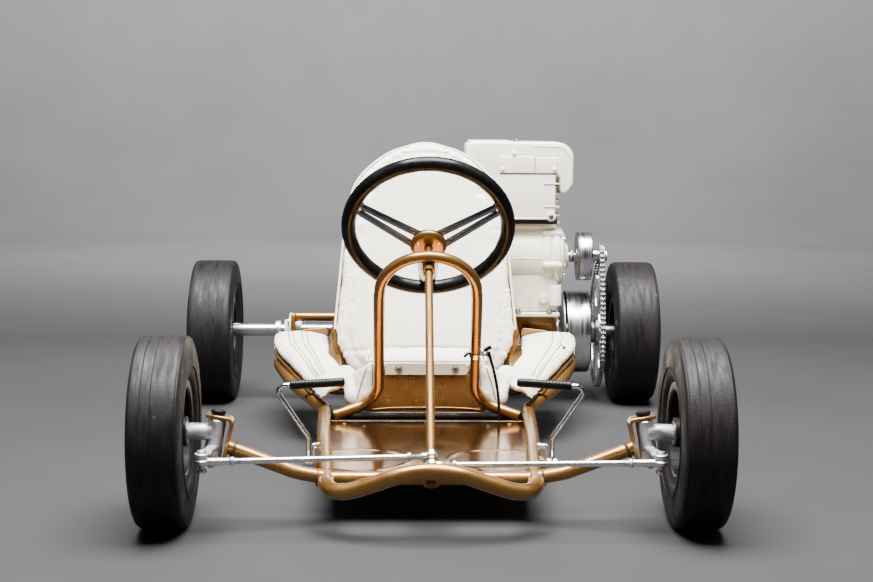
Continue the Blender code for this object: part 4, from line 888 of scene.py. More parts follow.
def wheels():
    for place in ("front", "rear"):
        for name, side in (("left", 1), ("right", -1)):
            node = place + "_" + name
            centre = middle_of("tyre_" + node) - SHIFT
            body = "front_wheel_" + name if place == "front" else "rear_axle"
            radius = centre.z
            wide = width_of("tyre_" + node, 0)
            h = wide / 2
            seat = h * 0.72
            axis = placed(centre, X * side, Y)
            s = Shape()
            outside = arc_profile([
                (0.0665, -seat + 0.001), (0.0735, -seat - 0.0040), (0.0800, -seat - 0.0078),
                                   (0.0900, -h * 0.955),
                (radius - 0.034, -h * 0.970), (radius - 0.020, -h * 0.962), (radius - 0.0095, -h * 0.935),
                (radius - 0.0036, -h * 0.885), (radius - 0.0011, -h * 0.80), (radius - 0.0002, -h * 0.62)],
                                  5)
            grooves = (-0.42 * side, -0.06 * side, 0.80, -0.80) if place == "front" else (-0.78, 0.78)
            tread = []
            for i in range(49):
                t = -0.62 + 1.24 * i / 48
                tread.append((radius - 0.0002 + 0.0002 * math.cos(t * math.pi), h * t))
            other = [(r, -p * 0.93) for r, p in outside[::-1]]
            skin = outside[:-1] + tread + other[1:]
            shape = []
            for r, p in skin:
                near = min(abs(p / h - g) for g in grooves)
                shape.append((r - (0.0009 * math.exp(-((near * h / 0.0006) ** 2))), p))
            inside = arc_profile([(0.0665, seat - 0.001), (0.0655, seat - 0.007), (0.0800, h - 0.009),
                                  (radius - 0.022, h * 0.74), (radius - 0.011, h * 0.4),
                                  (radius - 0.010, 0),
                                  (radius - 0.011, -h * 0.4), (radius - 0.022, -h * 0.74),
                                  (0.0800, -h + 0.009),
                                  (0.0655, -seat + 0.007), (0.0665, -seat + 0.001)], 3)
            seed = radius * 10 + side * 3 + (5 if place == "rear" else 0)

            def wear(a, j, seed=seed):
                return 0.00025 * noise.noise(Vector((math.cos(a) * 2.1, math.sin(a) * 2.1,
                                                     j * 0.08 + seed))) - 0.0001

            s.lathe(shape + inside[1:-1], axis, RUBBER, 128, True, uneven=wear)
            # Vent nibs and a moulded bead line on each wall
            rng = random.Random(int(seed * 100))
            for i in range(26):
                a = rng.uniform(0, 2 * math.pi)
                at = rng.choice((-0.86, -0.80, 0.80, 0.86, -0.3, 0.35))
                r = radius - (0.0062 if abs(at) > 0.7 else 0.0010)
                base = axis @ Vector((r * math.cos(a), r * math.sin(a), h * at))
                out = (axis.to_3x3() @ Vector((math.cos(a), math.sin(a), at * 0.5))).normalized()
                s.tube([base, base + out * rng.uniform(0.0012, 0.0026)], [0.0006, 0.0003], RUBBER, 6)
            for wall in (-1, 1):
                ring = [axis @ Vector(((radius - 0.043) * math.cos(a), (radius - 0.043) * math.sin(a),
                                       wall * (h - 0.0010)))
                        for a in [2 * math.pi * i / 96 for i in range(96)]]
                s.tube(ring, 0.0009, RUBBER, 6, closed=True)
            s.made("slick_" + node, body, "tyre_rubber", "tyre_" + node, angle=50)

            # The two halves of the rim, bolted together at the hub plate
            s = Shape()
            hub_in, hub_out = (-0.0325, 0.0315) if place == "front" else (-0.030, 0.030)
            bore = 0.0088 if place == "front" else 0.0133
            # The rim takes the near-black rim colour: painted shade inside the wheel
            s.lathe([
                (bore, hub_in), (0.0200, hub_in), (0.0210, hub_in + 0.001), (0.0212, -0.004),
                     (0.0235, 0.0030),
                (0.0300, 0.0036), (0.0480, 0.0036), (0.0550, 0.0010), (0.0585, -0.0060), (0.0595, -0.0140),
                (0.0592, -seat - 0.0010), (0.0615, -seat - 0.0034), (0.0705, -seat - 0.0038),
                     (0.0725, -seat - 0.0028),
                (0.0722, -seat - 0.0012), (0.0650, -seat - 0.0004), (0.0634, -seat + 0.0010),
                     (0.0634, -0.0090),
                (0.0620, -0.0030), (0.0605, 0.0000), (0.0605, 0.0060), (0.0620, 0.0100), (0.0634, 0.0160),
                (0.0634, seat - 0.0010), (0.0650, seat + 0.0004), (0.0722, seat + 0.0012),
                     (0.0725, seat + 0.0028),
                (0.0705, seat + 0.0038), (0.0615, seat + 0.0034), (0.0592, seat + 0.0010), (0.0595, 0.0230),
                (0.0585, 0.0160), (0.0550, 0.0100), (0.0480, 0.0086), (0.0300, 0.0086), (0.0235, 0.0092),
                (0.0212, 0.0150), (0.0210, hub_out - 0.001), (0.0200, hub_out), (bore, hub_out),
            ], axis, RIM, 80, True)
            for i in range(6):
                a = math.radians(60 * i + 20)
                p = axis @ Vector((0.0385 * math.cos(a), 0.0385 * math.sin(a), 0.0036))
                q = axis @ Vector((0.0385 * math.cos(a), 0.0385 * math.sin(a), 0.0086))
                s.hexagon(p, -X * side, 0.0056, 0.0040, ZINC)
                s.hexagon(q, X * side, 0.0056, 0.0040, ZINC)
            a = math.radians(95)
            foot = axis @ Vector((0.0575 * math.cos(a), 0.0575 * math.sin(a), 0.0180))
            lean = (axis.to_3x3() @ Vector((-math.cos(a) * 0.5, -math.sin(a) * 0.5, 0.8))).normalized()
            s.rod(foot, foot + lean * 0.0150, 0.0026, ZINC, 14)
            s.rod(foot + lean * 0.0130, foot + lean * 0.0210, 0.0034, GLOSS_BLACK, 14)
            if place == "front":
                for h0, h1, out in ((hub_in - 0.0006, hub_in + 0.0030, -1),
                                    (hub_out - 0.0030, hub_out + 0.0006, 1)):
                    s.lathe([(0.0090, h0), (0.0165, h0), (0.0165, h1), (0.0090, h1)], axis, STEEL, 40, True)
            s.made("rim_" + node, body, "cast_aluminium", "wheel_" + node, angle=34)


def rear_end():
    axle = Vector((0, REAR_Y, AXLE_Z))
    s = Shape()
    half = width_of("rear_axle", 0) / 2
    s.rod(axle - X * half, axle + X * half, AXLE_R, STEEL, 40, 0.0012)
    for x in (-0.2980, 0.2330):
        s.lathe([(0.0128, 0), (0.0188, 0), (0.0195, 0.0007), (0.0195, 0.0093), (0.0188, 0.010),
                 (0.0128, 0.010)],
                placed(axle + X * x, X), ZINC, 40, True)
        s.rod(axle + X * (x + 0.005) + Z * 0.0170, axle + X * (x + 0.005) + Z * 0.0205, 0.0026,
              GLOSS_BLACK, 12)
    for side in (-1, 1):
        s.hexagon(axle + X * (side * 0.4525), X * side, 0.0190, 0.0080, ZINC)
        s.block((0.33 if side > 0 else -0.40, REAR_Y - 0.0022, AXLE_Z + 0.0104),
                (0.36 if side > 0 else -0.37, REAR_Y + 0.0022, AXLE_Z + 0.0128), STEEL, 0.0003, 1)
    s.made("axle_bar", "rear_axle", "steel", "rear_axle")

    for name, side in (("left", 1), ("right", -1)):
        s = Shape()
        profile = [(0.0134, 0.2462), (0.0178, 0.2462), (0.0186, 0.2470), (0.0204, 0.2500), (0.0205, 0.2655),
                   (0.0335, 0.2660), (0.0345, 0.2668), (0.0345, 0.2692), (0.0335, 0.2700), (0.0240, 0.2702),
                   (0.0218, 0.2712), (0.0204, 0.2792), (0.0196, 0.2800), (0.0134, 0.2800)]
        s.lathe(profile, placed(axle, X * side), CAST_WHITE if side < 0 else SILVER, 56, True)
        if side > 0:
            # The brake's backing plate, pressed, with a raised ring
            s.lathe([(0.0190, 0.2768), (0.0320, 0.2770), (0.0420, 0.2760), (0.0600, 0.2760),
                     (0.0660, 0.2772),
                     (0.0790, 0.2772), (0.0800, 0.2780), (0.0800, 0.2795), (0.0790, 0.2800),
                     (0.0190, 0.2800)],
                    placed(axle, X), SILVER, 72, True)
        for degrees in (45, 135, 225, 315):
            a = math.radians(degrees)
            p = axle + mirror_x((0.2698, math.cos(a) * 0.0275, math.sin(a) * 0.0275), side)
            s.lathe([(0.0030, 0), (0.0068, 0), (0.0068, 0.0008), (0.0030, 0.0008)], placed(p, X * side),
                    ZINC, 24, True)
            s.hexagon(p + X * side * 0.0006, X * side, 0.0052, 0.0036, ZINC)
        s.made("bearing_carrier_" + name, "frame", "cast_aluminium", "rear_bearing_" + name)

    s = Shape()
    s.lathe([(0.0134, 0.2852), (0.0196, 0.2852), (0.0200, 0.2860), (0.0202, 0.3250), (0.0230, 0.3268),
             (0.0780, 0.3268), (0.0798, 0.3250), (0.0800, 0.2846), (0.0806, 0.2840), (0.0832, 0.2840),
             (0.0840, 0.2848), (0.0840, 0.2872), (0.0834, 0.2880), (0.0834, 0.3270), (0.0828, 0.3296),
             (0.0808, 0.3312), (0.0780, 0.3318), (0.0300, 0.3318), (0.0255, 0.3326), (0.0240, 0.3344),
             (0.0238, 0.3440), (0.0232, 0.3450), (0.0134, 0.3450)], placed(axle, X), DRUM, 112, True)
    for i in range(4):
        a = math.radians(90 * i + 45)
        s.hexagon(axle + Vector((0.3318, 0.046 * math.cos(a), 0.046 * math.sin(a))), X, 0.0052, 0.0038,
                  ZINC)
    s.made("drum_brake", "rear_axle", "chrome", "brake_drum", angle=30)


# ---------------------------------------------------------------- chain drive
PITCH = 0.009525
CHAIN_X = middle_of("drive_chain").x
AXLE_TEETH, CLUTCH_TEETH = 72, 12
CRANK = Vector((0, 0.964, 0.297))


def pitch_radius(teeth):
    return PITCH / 2 / math.sin(math.pi / teeth)


def toothed(teeth):
    """The outline of a sprocket: round seats for the rollers and pointed teeth."""
    r = pitch_radius(teeth)
    points = []
    for i in range(teeth):
        for k, dr in ((-0.5, -0.0026), (-0.30, -0.0022), (-0.17, -0.0004), (-0.07, 0.0022), (0.0, 0.0028),
                      (0.07, 0.0022), (0.17, -0.0004), (0.30, -0.0022)):
            a = 2 * math.pi * (i + 0.5 + k) / teeth
            points.append(((r + dr) * math.cos(a), (r + dr) * math.sin(a)))
    return points


def chain_path():
    """The pitch line of the chain, as a function of length, and its total length."""
    axle = Vector((0, REAR_Y, AXLE_Z))
    big, small = pitch_radius(AXLE_TEETH), pitch_radius(CLUTCH_TEETH)
    span = CRANK - axle
    line = math.atan2(span.z, span.y)
    lean = math.acos((big - small) / span.length)
    points = []
    for centre, radius, first, last, steps in ((axle, big, line + lean, line + 2 * math.pi - lean, 240),
                                               (CRANK, small, line - lean, line + lean, 60)):
        for i in range(steps + 1):
            a = first + (last - first) * i / steps
            points.append(Vector((0, centre.y + radius * math.cos(a), centre.z + radius * math.sin(a))))
    points.append(points[0])
    lengths = [0.0]
    for a, b in zip(points, points[1:]):
        lengths.append(lengths[-1] + (b - a).length)
    return points, lengths


def drive():
    axle = Vector((0, REAR_Y, AXLE_Z))
    across = Matrix(((0, 0, 1, CHAIN_X), (1, 0, 0, axle.y), (0, 1, 0, axle.z), (0, 0, 0, 1)))
    s = Shape()
    # Sprocket: toothed ring, six arms and a hub
    outline = toothed(AXLE_TEETH)
    inner = 0.0900
    root = pitch_radius(AXLE_TEETH) - 0.0038
    for z in (-0.0013, 0.0013):
        pts, faces = [], []
        n = len(outline)
        for x, y in outline:
            a = math.atan2(y, x)
            pts.append((x, y, z * 0.72))
            pts.append((root * math.cos(a), root * math.sin(a), z))
            pts.append((inner * math.cos(a), inner * math.sin(a), z))
        for i in range(n):
            j = (i + 1) % n
            faces.append((3 * i, 3 * j, 3 * j + 1, 3 * i + 1))
            faces.append((3 * i + 1, 3 * j + 1, 3 * j + 2, 3 * i + 2))
        s.faces(pts, faces, STEEL, across)
    pts = [(x, y, z) for x, y in outline for z in (-0.0013 * 0.72, 0.0013 * 0.72)]
    n = len(outline)
    s.faces(pts, [(2 * i, 2 * i + 1, (2 * i + 3) % (2 * n), (2 * i + 2) % (2 * n)) for i in range(n)],
            STEEL, across)
    s.lathe([(inner, -0.0013), (inner, 0.0013)], across, STEEL, 120)
    for f in [f for f in s.bm.faces if len(f.verts) > 30]:
        s.bm.faces.remove(f)
    s.lathe([(0.0134, -0.0049), (0.0292, -0.0049), (0.0300, -0.0041), (0.0300, 0.0047), (0.0292, 0.0055),
             (0.0134, 0.0055)], across, STEEL, 56, True)
    s.lathe([(0.0290, -0.0013), (0.0510, -0.0013), (0.0510, 0.0013), (0.0290, 0.0013)], across, STEEL, 96,
            True)
    for i in range(6):
        a = 2 * math.pi * i / 6
        s.plate([(0.049, -0.0105), (0.068, -0.0075), (0.0910, -0.0120), (0.0910, 0.0120), (0.068, 0.0075),
                 (0.049, 0.0105)], 0.0025, across @ Matrix.Rotation(a, 4, "Z"), STEEL, 0.0004)
        b = a + math.pi / 6
        s.hexagon(across @ Vector((0.0400 * math.cos(b), 0.0400 * math.sin(b), 0.0013)), X, 0.0052, 0.0036,
                  ZINC)
    s.made("sprocket_axle", "rear_axle", "steel", "axle_sprocket")

    # Chain: rollers on pins between pairs of waisted plates, inner and outer by turns
    s = Shape()
    points, lengths = chain_path()
    count = round(lengths[-1] / PITCH)

    def on_chain(at):
        at %= lengths[-1]
        for i in range(len(lengths) - 1):
            if lengths[i + 1] >= at:
                t = (at - lengths[i]) / max(1e-9, lengths[i + 1] - lengths[i])
                return points[i].lerp(points[i + 1], t)
        return points[-1]

    step = lengths[-1] / count
    pins = [on_chain(step * i) for i in range(count)]
    for i in range(count):
        a, b = pins[i], pins[(i + 1) % count]
        a3, b3 = a + X * CHAIN_X, b + X * CHAIN_X
        s.rod(a3 - X * 0.0020, a3 + X * 0.0020, 0.00315, CHAIN, 14, 0.0003)
        s.rod(a3 - X * 0.0052, a3 + X * 0.0052, 0.0014, CHAIN, 10, 0.0003)
        way = (b3 - a3).normalized()
        length = (b3 - a3).length
        matrix = placed(a3, X, way)
        outline = []
        for k in range(9):
            t = math.pi / 2 + math.pi * k / 8
            outline.append((0.0040 * math.cos(t), 0.0040 * math.sin(t)))
        outline.append((length / 2, -0.0027))
        for k in range(9):
            t = -math.pi / 2 + math.pi * k / 8
            outline.append((length + 0.0040 * math.cos(t), 0.0040 * math.sin(t)))
        outline.append((length / 2, 0.0027))
        x = 0.0027 if i % 2 else 0.0039
        for way_x in (-1, 1):
            s.plate(outline, 0.0009, matrix @ Matrix.Translation((0, 0, way_x * x)), CHAIN, 0)
    s.made("chain_links", "frame", "steel", "drive_chain", angle=30)

    # Clutch drum with its small sprocket, and eight dimples in its face, drawn as near-black discs that paint
    # the shade inside them
    s = Shape()
    s.lathe([(0.0088, 0.3272), (0.0440, 0.3272), (0.0458, 0.3255), (0.0460, 0.3054), (0.0466, 0.3050),
             (0.0480, 0.3050),
             (0.0485, 0.3056), (0.0485, 0.3275), (0.0480, 0.3290), (0.0465, 0.3298), (0.0180, 0.3305),
             (0.0142, 0.3322), (0.0140, 0.3460), (0.0136, 0.3470), (0.0088, 0.3470)], placed(CRANK, X),
            DRUM, 88, True)
    s.plate(toothed(CLUTCH_TEETH), 0.0026, Matrix.Translation((CHAIN_X, CRANK.y, CRANK.z)) @ turn_to(X, Y),
            STEEL, 0.0003)
    s.lathe([(0.0088, 0.3515), (0.0130, 0.3515), (0.0136, 0.3522), (0.0136, 0.3575), (0.0130, 0.3580),
             (0.0088, 0.3580)], placed(CRANK, X), STEEL, 32, True)
    for i in range(8):
        a = math.radians(45 * i)
        s.rod(CRANK + Vector((0.3296, 0.032 * math.cos(a), 0.032 * math.sin(a))),
              CRANK + Vector((0.3304, 0.032 * math.cos(a), 0.032 * math.sin(a))), 0.0042, RECESS_SHADE, 16,
              0.0001)
    s.made("clutch_bell", "clutch", "chrome", "clutch_drum", angle=30)


# ---------------------------------------------------------------- seat
BACK_OUTLINE = [(0.124, 0.100), (0.150, 0.132), (0.165, 0.165), (0.166, 0.200), (0.160, 0.270),
                (0.154, 0.340),
                (0.143, 0.420), (0.134, 0.455), (0.112, 0.482), (0.076, 0.505), (0.034, 0.519)]
BACK_LINE = smooth_path([(a, b, 0) for a, b in BACK_OUTLINE], 8)
OUTER = smooth_path([(0.2020, 0.556, 0.0920), (0.241, 0.636, 0.1165), (0.270, 0.710, 0.1310),
                     (0.282, 0.790, 0.1345),
                     (0.284, 0.870, 0.1360)], 8)
INNER = smooth_path([(0.1600, 0.556, 0.1020), (0.1670, 0.636, 0.1150), (0.1765, 0.710, 0.1220),
                     (0.184, 0.790, 0.1280),
                     (0.192, 0.870, 0.1320)], 8)


def along(line, t):
    place = t * (len(line) - 1)
    i = max(0, min(int(place), len(line) - 2))
    return line[i] + (line[i + 1] - line[i]) * (place - i)


def back_point(u, v, wider, behind):
    """A point of the seat back: u across, v up, wider at the edge and behind the front surface."""
    w, z = along(BACK_LINE, v).xy
    across = 2 * u - 1
    y = 0.772 + (z - 0.10) * 0.235 - 0.034 * across * across * min(1, w / 0.15) + behind
    low = max(0.0, 1 - v / 0.45) ** 2
    high = min(1.0, max(0.0, (v - 0.52) / 0.34))
    w *= 1 - 0.125 * high * high * (3 - 2 * high)
    z += (0.005 * (1 - across * across) - 0.005) * max(0.0, v) ** 5
    return Vector((across * (w + wider + 0.006 * low), y, z + wider * (v - 0.3) - 0.014 * low))


def closed_pad(place, columns, rows, thick, edge=0.35):
    """A pad as a closed mesh. place(u, v, h) is a point at height h, from -1 to 1, through it."""
    bm = bmesh.new()
    layers = []
    for sign in (1, -1):
        layer = []
        for j in range(rows + 1):
            row = []
            for i in range(columns + 1):
                u, v = i / columns, j / rows
                rim = min(1.0, min(u, 1 - u) * columns / 3, min(v, 1 - v) * rows / 3)
                height = (edge + (1 - edge) * math.sqrt(max(0.0, 1 - (1 - rim) ** 2))) * thick / 2
                row.append(bm.verts.new(place(u, v, sign * height)))
            layer.append(row)
        layers.append(layer)
    for layer, flip in ((layers[0], False), (layers[1], True)):
        for j in range(rows):
            for i in range(columns):
                face = [layer[j][i], layer[j][i + 1], layer[j + 1][i + 1], layer[j + 1][i]]
                bm.faces.new(face[::-1] if flip else face)
    loop = [(0, i) for i in range(columns)] + [(j, columns) for j in range(rows)]
    loop += [(rows, i) for i in range(columns, 0, -1)] + [(j, 0) for j in range(rows, 0, -1)]
    for (j, i), (m, k) in zip(loop, loop[1:] + loop[:1]):
        bm.faces.new([layers[0][j][i], layers[1][j][i], layers[1][m][k], layers[0][m][k]])
    bmesh.ops.recalc_face_normals(bm, faces=bm.faces)
    return bm


CLOTH_FRAMES = 20


def stuffed(name, bm, voxel, cap, pressure=4.0, smooth=2):
    """The form, remeshed evenly and blown up as cloth over its stuffing. The cap limits each point's move."""
    mesh = bpy.data.meshes.new(name)
    bm.to_mesh(mesh)
    bm.free()
    obj = bpy.data.objects.new(name, mesh)
    bpy.context.scene.collection.objects.link(obj)
    remesh = obj.modifiers.new("even", "REMESH")
    remesh.mode = "VOXEL"
    remesh.voxel_size = voxel
    graph = bpy.context.evaluated_depsgraph_get()
    even = bpy.data.meshes.new_from_object(obj.evaluated_get(graph))
    obj.modifiers.clear()
    obj.data = even
    bm = bmesh.new()
    bm.from_mesh(even)
    for _ in range(smooth):
        bmesh.ops.smooth_vert(bm, verts=bm.verts, factor=0.5, use_axis_x=True, use_axis_y=True,
                              use_axis_z=True)
    bm.to_mesh(even)
    bm.free()
    start = [v.co.copy() for v in even.vertices]
    outward = [v.normal.copy() for v in even.vertices]
    cloth = obj.modifiers.new("cloth", "CLOTH")
    cloth.settings.quality = 5
    cloth.settings.mass = 0.25
    cloth.settings.tension_stiffness = 18
    cloth.settings.compression_stiffness = 18
    cloth.settings.bending_stiffness = 1.5
    cloth.settings.use_pressure = True
    cloth.settings.uniform_pressure_force = pressure
    cloth.settings.effector_weights.gravity = 0
    cloth.point_cache.frame_start = 1
    cloth.point_cache.frame_end = CLOTH_FRAMES
    scene = bpy.context.scene
    for number in range(1, CLOTH_FRAMES + 1):
        scene.frame_set(number)
    graph = bpy.context.evaluated_depsgraph_get()
    moved = [v.co.copy() for v in obj.evaluated_get(graph).data.vertices]
    obj.modifiers.clear()
    scene.frame_set(1)
    for vert, a, b, out in zip(even.vertices, start, moved, outward):
        step = b - a
        step -= out * min(0.0, step.dot(out)) * 0.9
        vert.co = a + step * min(1.0, cap / max(step.length, 1e-9))
    return obj


def surface_tree(obj):
    points = [v.co for v in obj.data.vertices]
    return BVHTree.FromPolygons(points, [p.vertices[:] for p in obj.data.polygons])


def on_surface(obj, points, direction):
    """The points dropped on the piece along the direction."""
    tree, found = surface_tree(obj), []
    direction = Vector(direction).normalized()
    for p in points:
        hit = tree.ray_cast(Vector(p) - direction * 0.08, direction)
        if hit[0] is not None:
            found.append(hit[0])
    return found


def pressed(obj, line, depth, width):
    """A sewn channel: the surface is pulled in along the line."""
    if not line:
        return
    tree = KDTree(len(line))
    for i, p in enumerate(line):
        tree.insert(p, i)
    tree.balance()
    obj.data.update()
    normals = [v.normal.copy() for v in obj.data.vertices]
    for vert, normal in zip(obj.data.vertices, normals):
        far = tree.find(vert.co)[2]
        if far < width * 3:
            vert.co -= normal * depth * math.exp(-((far / width) ** 2))


def wrinkled(obj, depth, scale, seed, where=None):
    obj.data.update()
    normals = [v.normal.copy() for v in obj.data.vertices]
    for vert, normal in zip(obj.data.vertices, normals):
        p = vert.co * scale + Vector((seed, seed * 2, 0))
        k = where(vert.co) if where else 1.0
        ridge = 1 - abs(noise.noise(p) * 2)
        vert.co += normal * depth * k * (max(0, ridge) ** 3 - 0.3)


def dense(obj):
    """One subdivision, made before the seams so that they can be narrow."""
    bm = bmesh.new()
    bm.from_mesh(obj.data)
    bmesh.ops.subdivide_edges(bm, edges=bm.edges[:], cuts=1, use_grid_fill=True)
    bmesh.ops.smooth_vert(bm, verts=bm.verts, factor=0.5, use_axis_x=True, use_axis_y=True, use_axis_z=True)
    bm.to_mesh(obj.data)
    bm.free()
    return obj


def upholstered(obj, body, slot, fill, *nodes):
    obj.data.materials.clear()
    obj.data.materials.append(VINYL)
    obj.data.shade_smooth()
    obj.location = SHIFT
    subdivision = obj.modifiers.new("fine", "SUBSURF")
    subdivision.levels = 1
    subdivision.render_levels = 1
    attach(obj, body)
    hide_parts(*nodes)
    return obj


def stitched(s, line, every=0.0042, length=0.0026, size=0.00032):
    """A row of stitches along the line."""
    total, place = 0.0, 0.0
    for a, b in zip(line, line[1:]):
        gap = (b - a).length
        while place <= total + gap and gap > 0:
            p = a.lerp(b, (place - total) / gap)
            way = (b - a).normalized()
            s.tube([p - way * length / 2, p, p + way * length / 2], [size * 0.6, size, size * 0.6], THREAD,
                   6)
            place += every
        total += gap


def seat():
    # Back cushion
    def place(u, v, h):
        p = back_point(0.004 + u * 0.992, 0.010 + v * 0.990, 0.0015, 0.0135)
        crown = 0.004 * math.sin(math.pi * u) * math.sin(math.pi * v)
        return p + Vector((0, -(h + (crown if h > 0 else 0)), 0))

    back = stuffed("seat_back_pad", closed_pad(place, 30, 38, 0.023), 0.0060, 0.006)
    dense(back)
    lower = on_surface(back, [back_point(u / 60, 0.135, 0, 0) for u in range(5, 56)], (0, 1, 0))
    border = [back_point(0.045, v / 80, 0, 0) for v in range(6, 70)]
    border += [back_point(0.045 + 0.91 * i / 30, 0.885, 0, 0) for i in range(31)]
    border += [back_point(0.955, v / 80, 0, 0) for v in range(70, 5, -1)]
    pressed(back, lower, 0.0016, 0.0040)
    pressed(back, on_surface(back, border, (0, 1, 0)), 0.0016, 0.0024)
    wrinkled(back, 0.0010, 16, 2.0,
             lambda p: max(0.0, 1 - abs(p.z - 0.145) / 0.05) * (0.4 + 0.6 * min(1, abs(p.x) / 0.12)))
    wrinkled(back, 0.0006, 9, 5.0)
    upholstered(back, "frame", "white_vinyl", 0.55, "seat_back_cushion")

    # Piping round the back cushion's edge
    s = Shape()
    edge = [back_point(1, v / 90, 0.0005, 0.013) for v in range(22, 91)]
    edge += [back_point(1 - i / 14, 1.0, 0.0005, 0.013) for i in range(1, 15)]
    edge += [back_point(0, v / 90, 0.0005, 0.013) for v in range(89, 21, -1)]
    s.tube(smooth_path(edge, 2), 0.0022, PIPING, 10)
    s.made("seat_back_piping", "frame", "white_vinyl")

    # Shell behind the cushion: formed sheet with a beaded rim, wider where it stands free low down
    def rim_out(v):
        return 0.0085 - 0.0150 * min(1.0, max(0.0, (v - 0.20) / 0.22))

    s = Shape()
    for behind in (0.0240, 0.0335):
        s.grid(36, 44, lambda u, v, b=behind: back_point(u, v, rim_out(v), b), GOLD)
    rim = [back_point(1, v / 90, rim_out(v / 90), 0.0285) for v in range(0, 91)]
    rim += [back_point(1 - i / 16, 1.0, rim_out(1), 0.0285) for i in range(1, 17)]
    rim += [back_point(0, v / 90, rim_out(v / 90), 0.0285) for v in range(89, -1, -1)]
    rim += [back_point(i / 16, 0.0, rim_out(0), 0.0285) for i in range(1, 16)]
    s.tube(rim, 0.0021, GOLD, 10, closed=True)
    for v in (0.30, 0.62, 0.86):
        rib = [back_point(u / 40, v, 0.0, 0.0340) for u in range(5, 36)]
        s.tube(rib, 0.0030, GOLD, 10)
    for u, v in ((0.12, 0.12), (0.88, 0.12), (0.12, 0.50), (0.88, 0.50), (0.30, 0.90), (0.70, 0.90)):
        s.hexagon(back_point(u, v, 0, 0.0335), (0, 1, -0.23), 0.0048, 0.0034, ZINC)
    s.made("seat_shell_back", "frame", "gold_paint", "seat_back_shell")

    # Seat cushion
    low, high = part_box("seat_cushion")
    low, high = low - SHIFT, high - SHIFT

    def squab(u, v, h):
        x = low.x + 0.003 + (high.x - low.x - 0.006) * u
        y = low.y + 0.003 + (high.y - low.y - 0.006) * v
        crown = 0.004 * math.sin(math.pi * u) * math.sin(math.pi * v) if h > 0 else 0
        lean = (0.012 + 0.010 * v) if h > 0 else 0
        return Vector((x, y, (low.z + high.z) / 2 - 0.001 + h + crown - lean))

    cushion = stuffed("seat_squab", closed_pad(squab, 26, 24, 0.033, 0.5), 0.0050, 0.005)
    dense(cushion)
    flat = low.z
    for x in (-0.036, 0.036):
        line = on_surface(cushion, [(x, y / 400, 0.16) for y in range(224, 292)], (0, 0, -1))
        pressed(cushion, line, 0.0024, 0.0045)
    wrinkled(cushion, 0.0008, 20, 9.0)
    for vert in cushion.data.vertices:
        vert.co.z = max(vert.co.z, flat + 0.0003)
    upholstered(cushion, "frame", "white_vinyl", 0.6, "seat_cushion")
    s = Shape()
    loop = bend([(low.x + 0.003, low.y + 0.0015, high.z - 0.019),
                 (high.x - 0.003, low.y + 0.0015, high.z - 0.019),
                 (high.x - 0.003, high.y - 0.003, high.z - 0.026),
                 (low.x + 0.003, high.y - 0.003, high.z - 0.026),
                 (low.x + 0.003, low.y + 0.0016, high.z - 0.019)], 0.016, 8)
    s.tube(loop, 0.0019, PIPING, 10)
    s.made("seat_squab_piping", "frame", "white_vinyl")

    # White strip that holds the cushion's front edge down, with two slotted bolts
    low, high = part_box("seat_front_strip")
    low, high = low - SHIFT, high - SHIFT
    s = Shape()
    outline = bend([(low.x, low.z, 0), (high.x, low.z, 0), (high.x, high.z, 0), (low.x, high.z, 0),
                    (low.x, low.z + 0.001, 0)],
                   0.007, 6)
    s.plate([(p.x, p.y) for p in outline[:-1]], 0.0026,
            Matrix(((1, 0, 0, 0), (0, 0, -1, high.y - 0.0014), (0, 1, 0, 0),
                                                               (0, 0, 0, 1))), WHITE, 0.0006)
    for x in (-0.048, 0.050):
        c = Vector((x, high.y - 0.0027, 0.1375))
        s.lathe([(0.0010, 0), (0.0072, 0), (0.0072, 0.0008), (0.0010, 0.0008)], placed(c, -Y), ZINC, 28)
        s.lathe([(0.0050, 0), (0.0050, 0.0012), (0.0040, 0.0028), (0.0018, 0.0033), (0.0001, 0.0034)],
                placed(c - Y * 0.0008, -Y), STEEL, 24)
        # The screw's slot is a near-black block: painted shade in the slot
        s.block(c + Vector((-0.0040, -0.0046, -0.0005)), c + Vector((0.0040, -0.0038, 0.0005)), RECESS_SHADE,
                0.0002, 1)
    s.made("cushion_strip", "frame", "white_paint", "seat_front_strip")

    # Folded base under the cushion
    low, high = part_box("seat_base")
    low, high = low - SHIFT, high - SHIFT
    s = Shape()
    ring = bend([(low.x, low.y, 0), (high.x, low.y, 0), (high.x, high.y, 0), (low.x, high.y, 0),
                 (low.x, low.y + 0.0002, 0)],
                0.010, 8)[:-1]
    ring = ring[1:] if (ring[0] - ring[-1]).length < 1e-6 else ring
    inner = [Vector((max(low.x + 0.0022, min(high.x - 0.0022, p.x)),
                     max(low.y + 0.0022, min(high.y - 0.0022, p.y)), 0))
             for p in ring]
    heights = [(0.0, 0.0), (0.0, 0.002), (0.0, 0.010), (0.0, high.z - low.z - 0.004),
               (0.0010, high.z - low.z - 0.0012),
               (0.0040, high.z - low.z - 0.0003)]
    centre = (low + high) / 2
    pts, faces = [], []
    n = len(ring)
    for inset, h in heights:
        for p in ring:
            d = Vector((centre.x - p.x, centre.y - p.y, 0)).normalized() * inset
            pts.append(Vector((p.x, p.y, low.z + h)) + d)
    for j in range(len(heights) - 1):
        for i in range(n):
            k = (i + 1) % n
            faces.append((j * n + i, j * n + k, (j + 1) * n + k, (j + 1) * n + i))
    faces.append(tuple((len(heights) - 1) * n + i for i in range(n)))
    s.faces(pts, faces, GOLD)
    s.faces([(p.x, p.y, low.z + h) for h in (0.0, 0.055) for p in inner],
            [(i, n + i, n + (i + 1) % n, (i + 1) % n) for i in range(n)], GOLD)
    s.faces([(p.x, p.y, low.z) for p in ring] + [(p.x, p.y, low.z) for p in inner],
            [(i, (i + 1) % n, n + (i + 1) % n, n + i) for i in range(n)], GOLD)
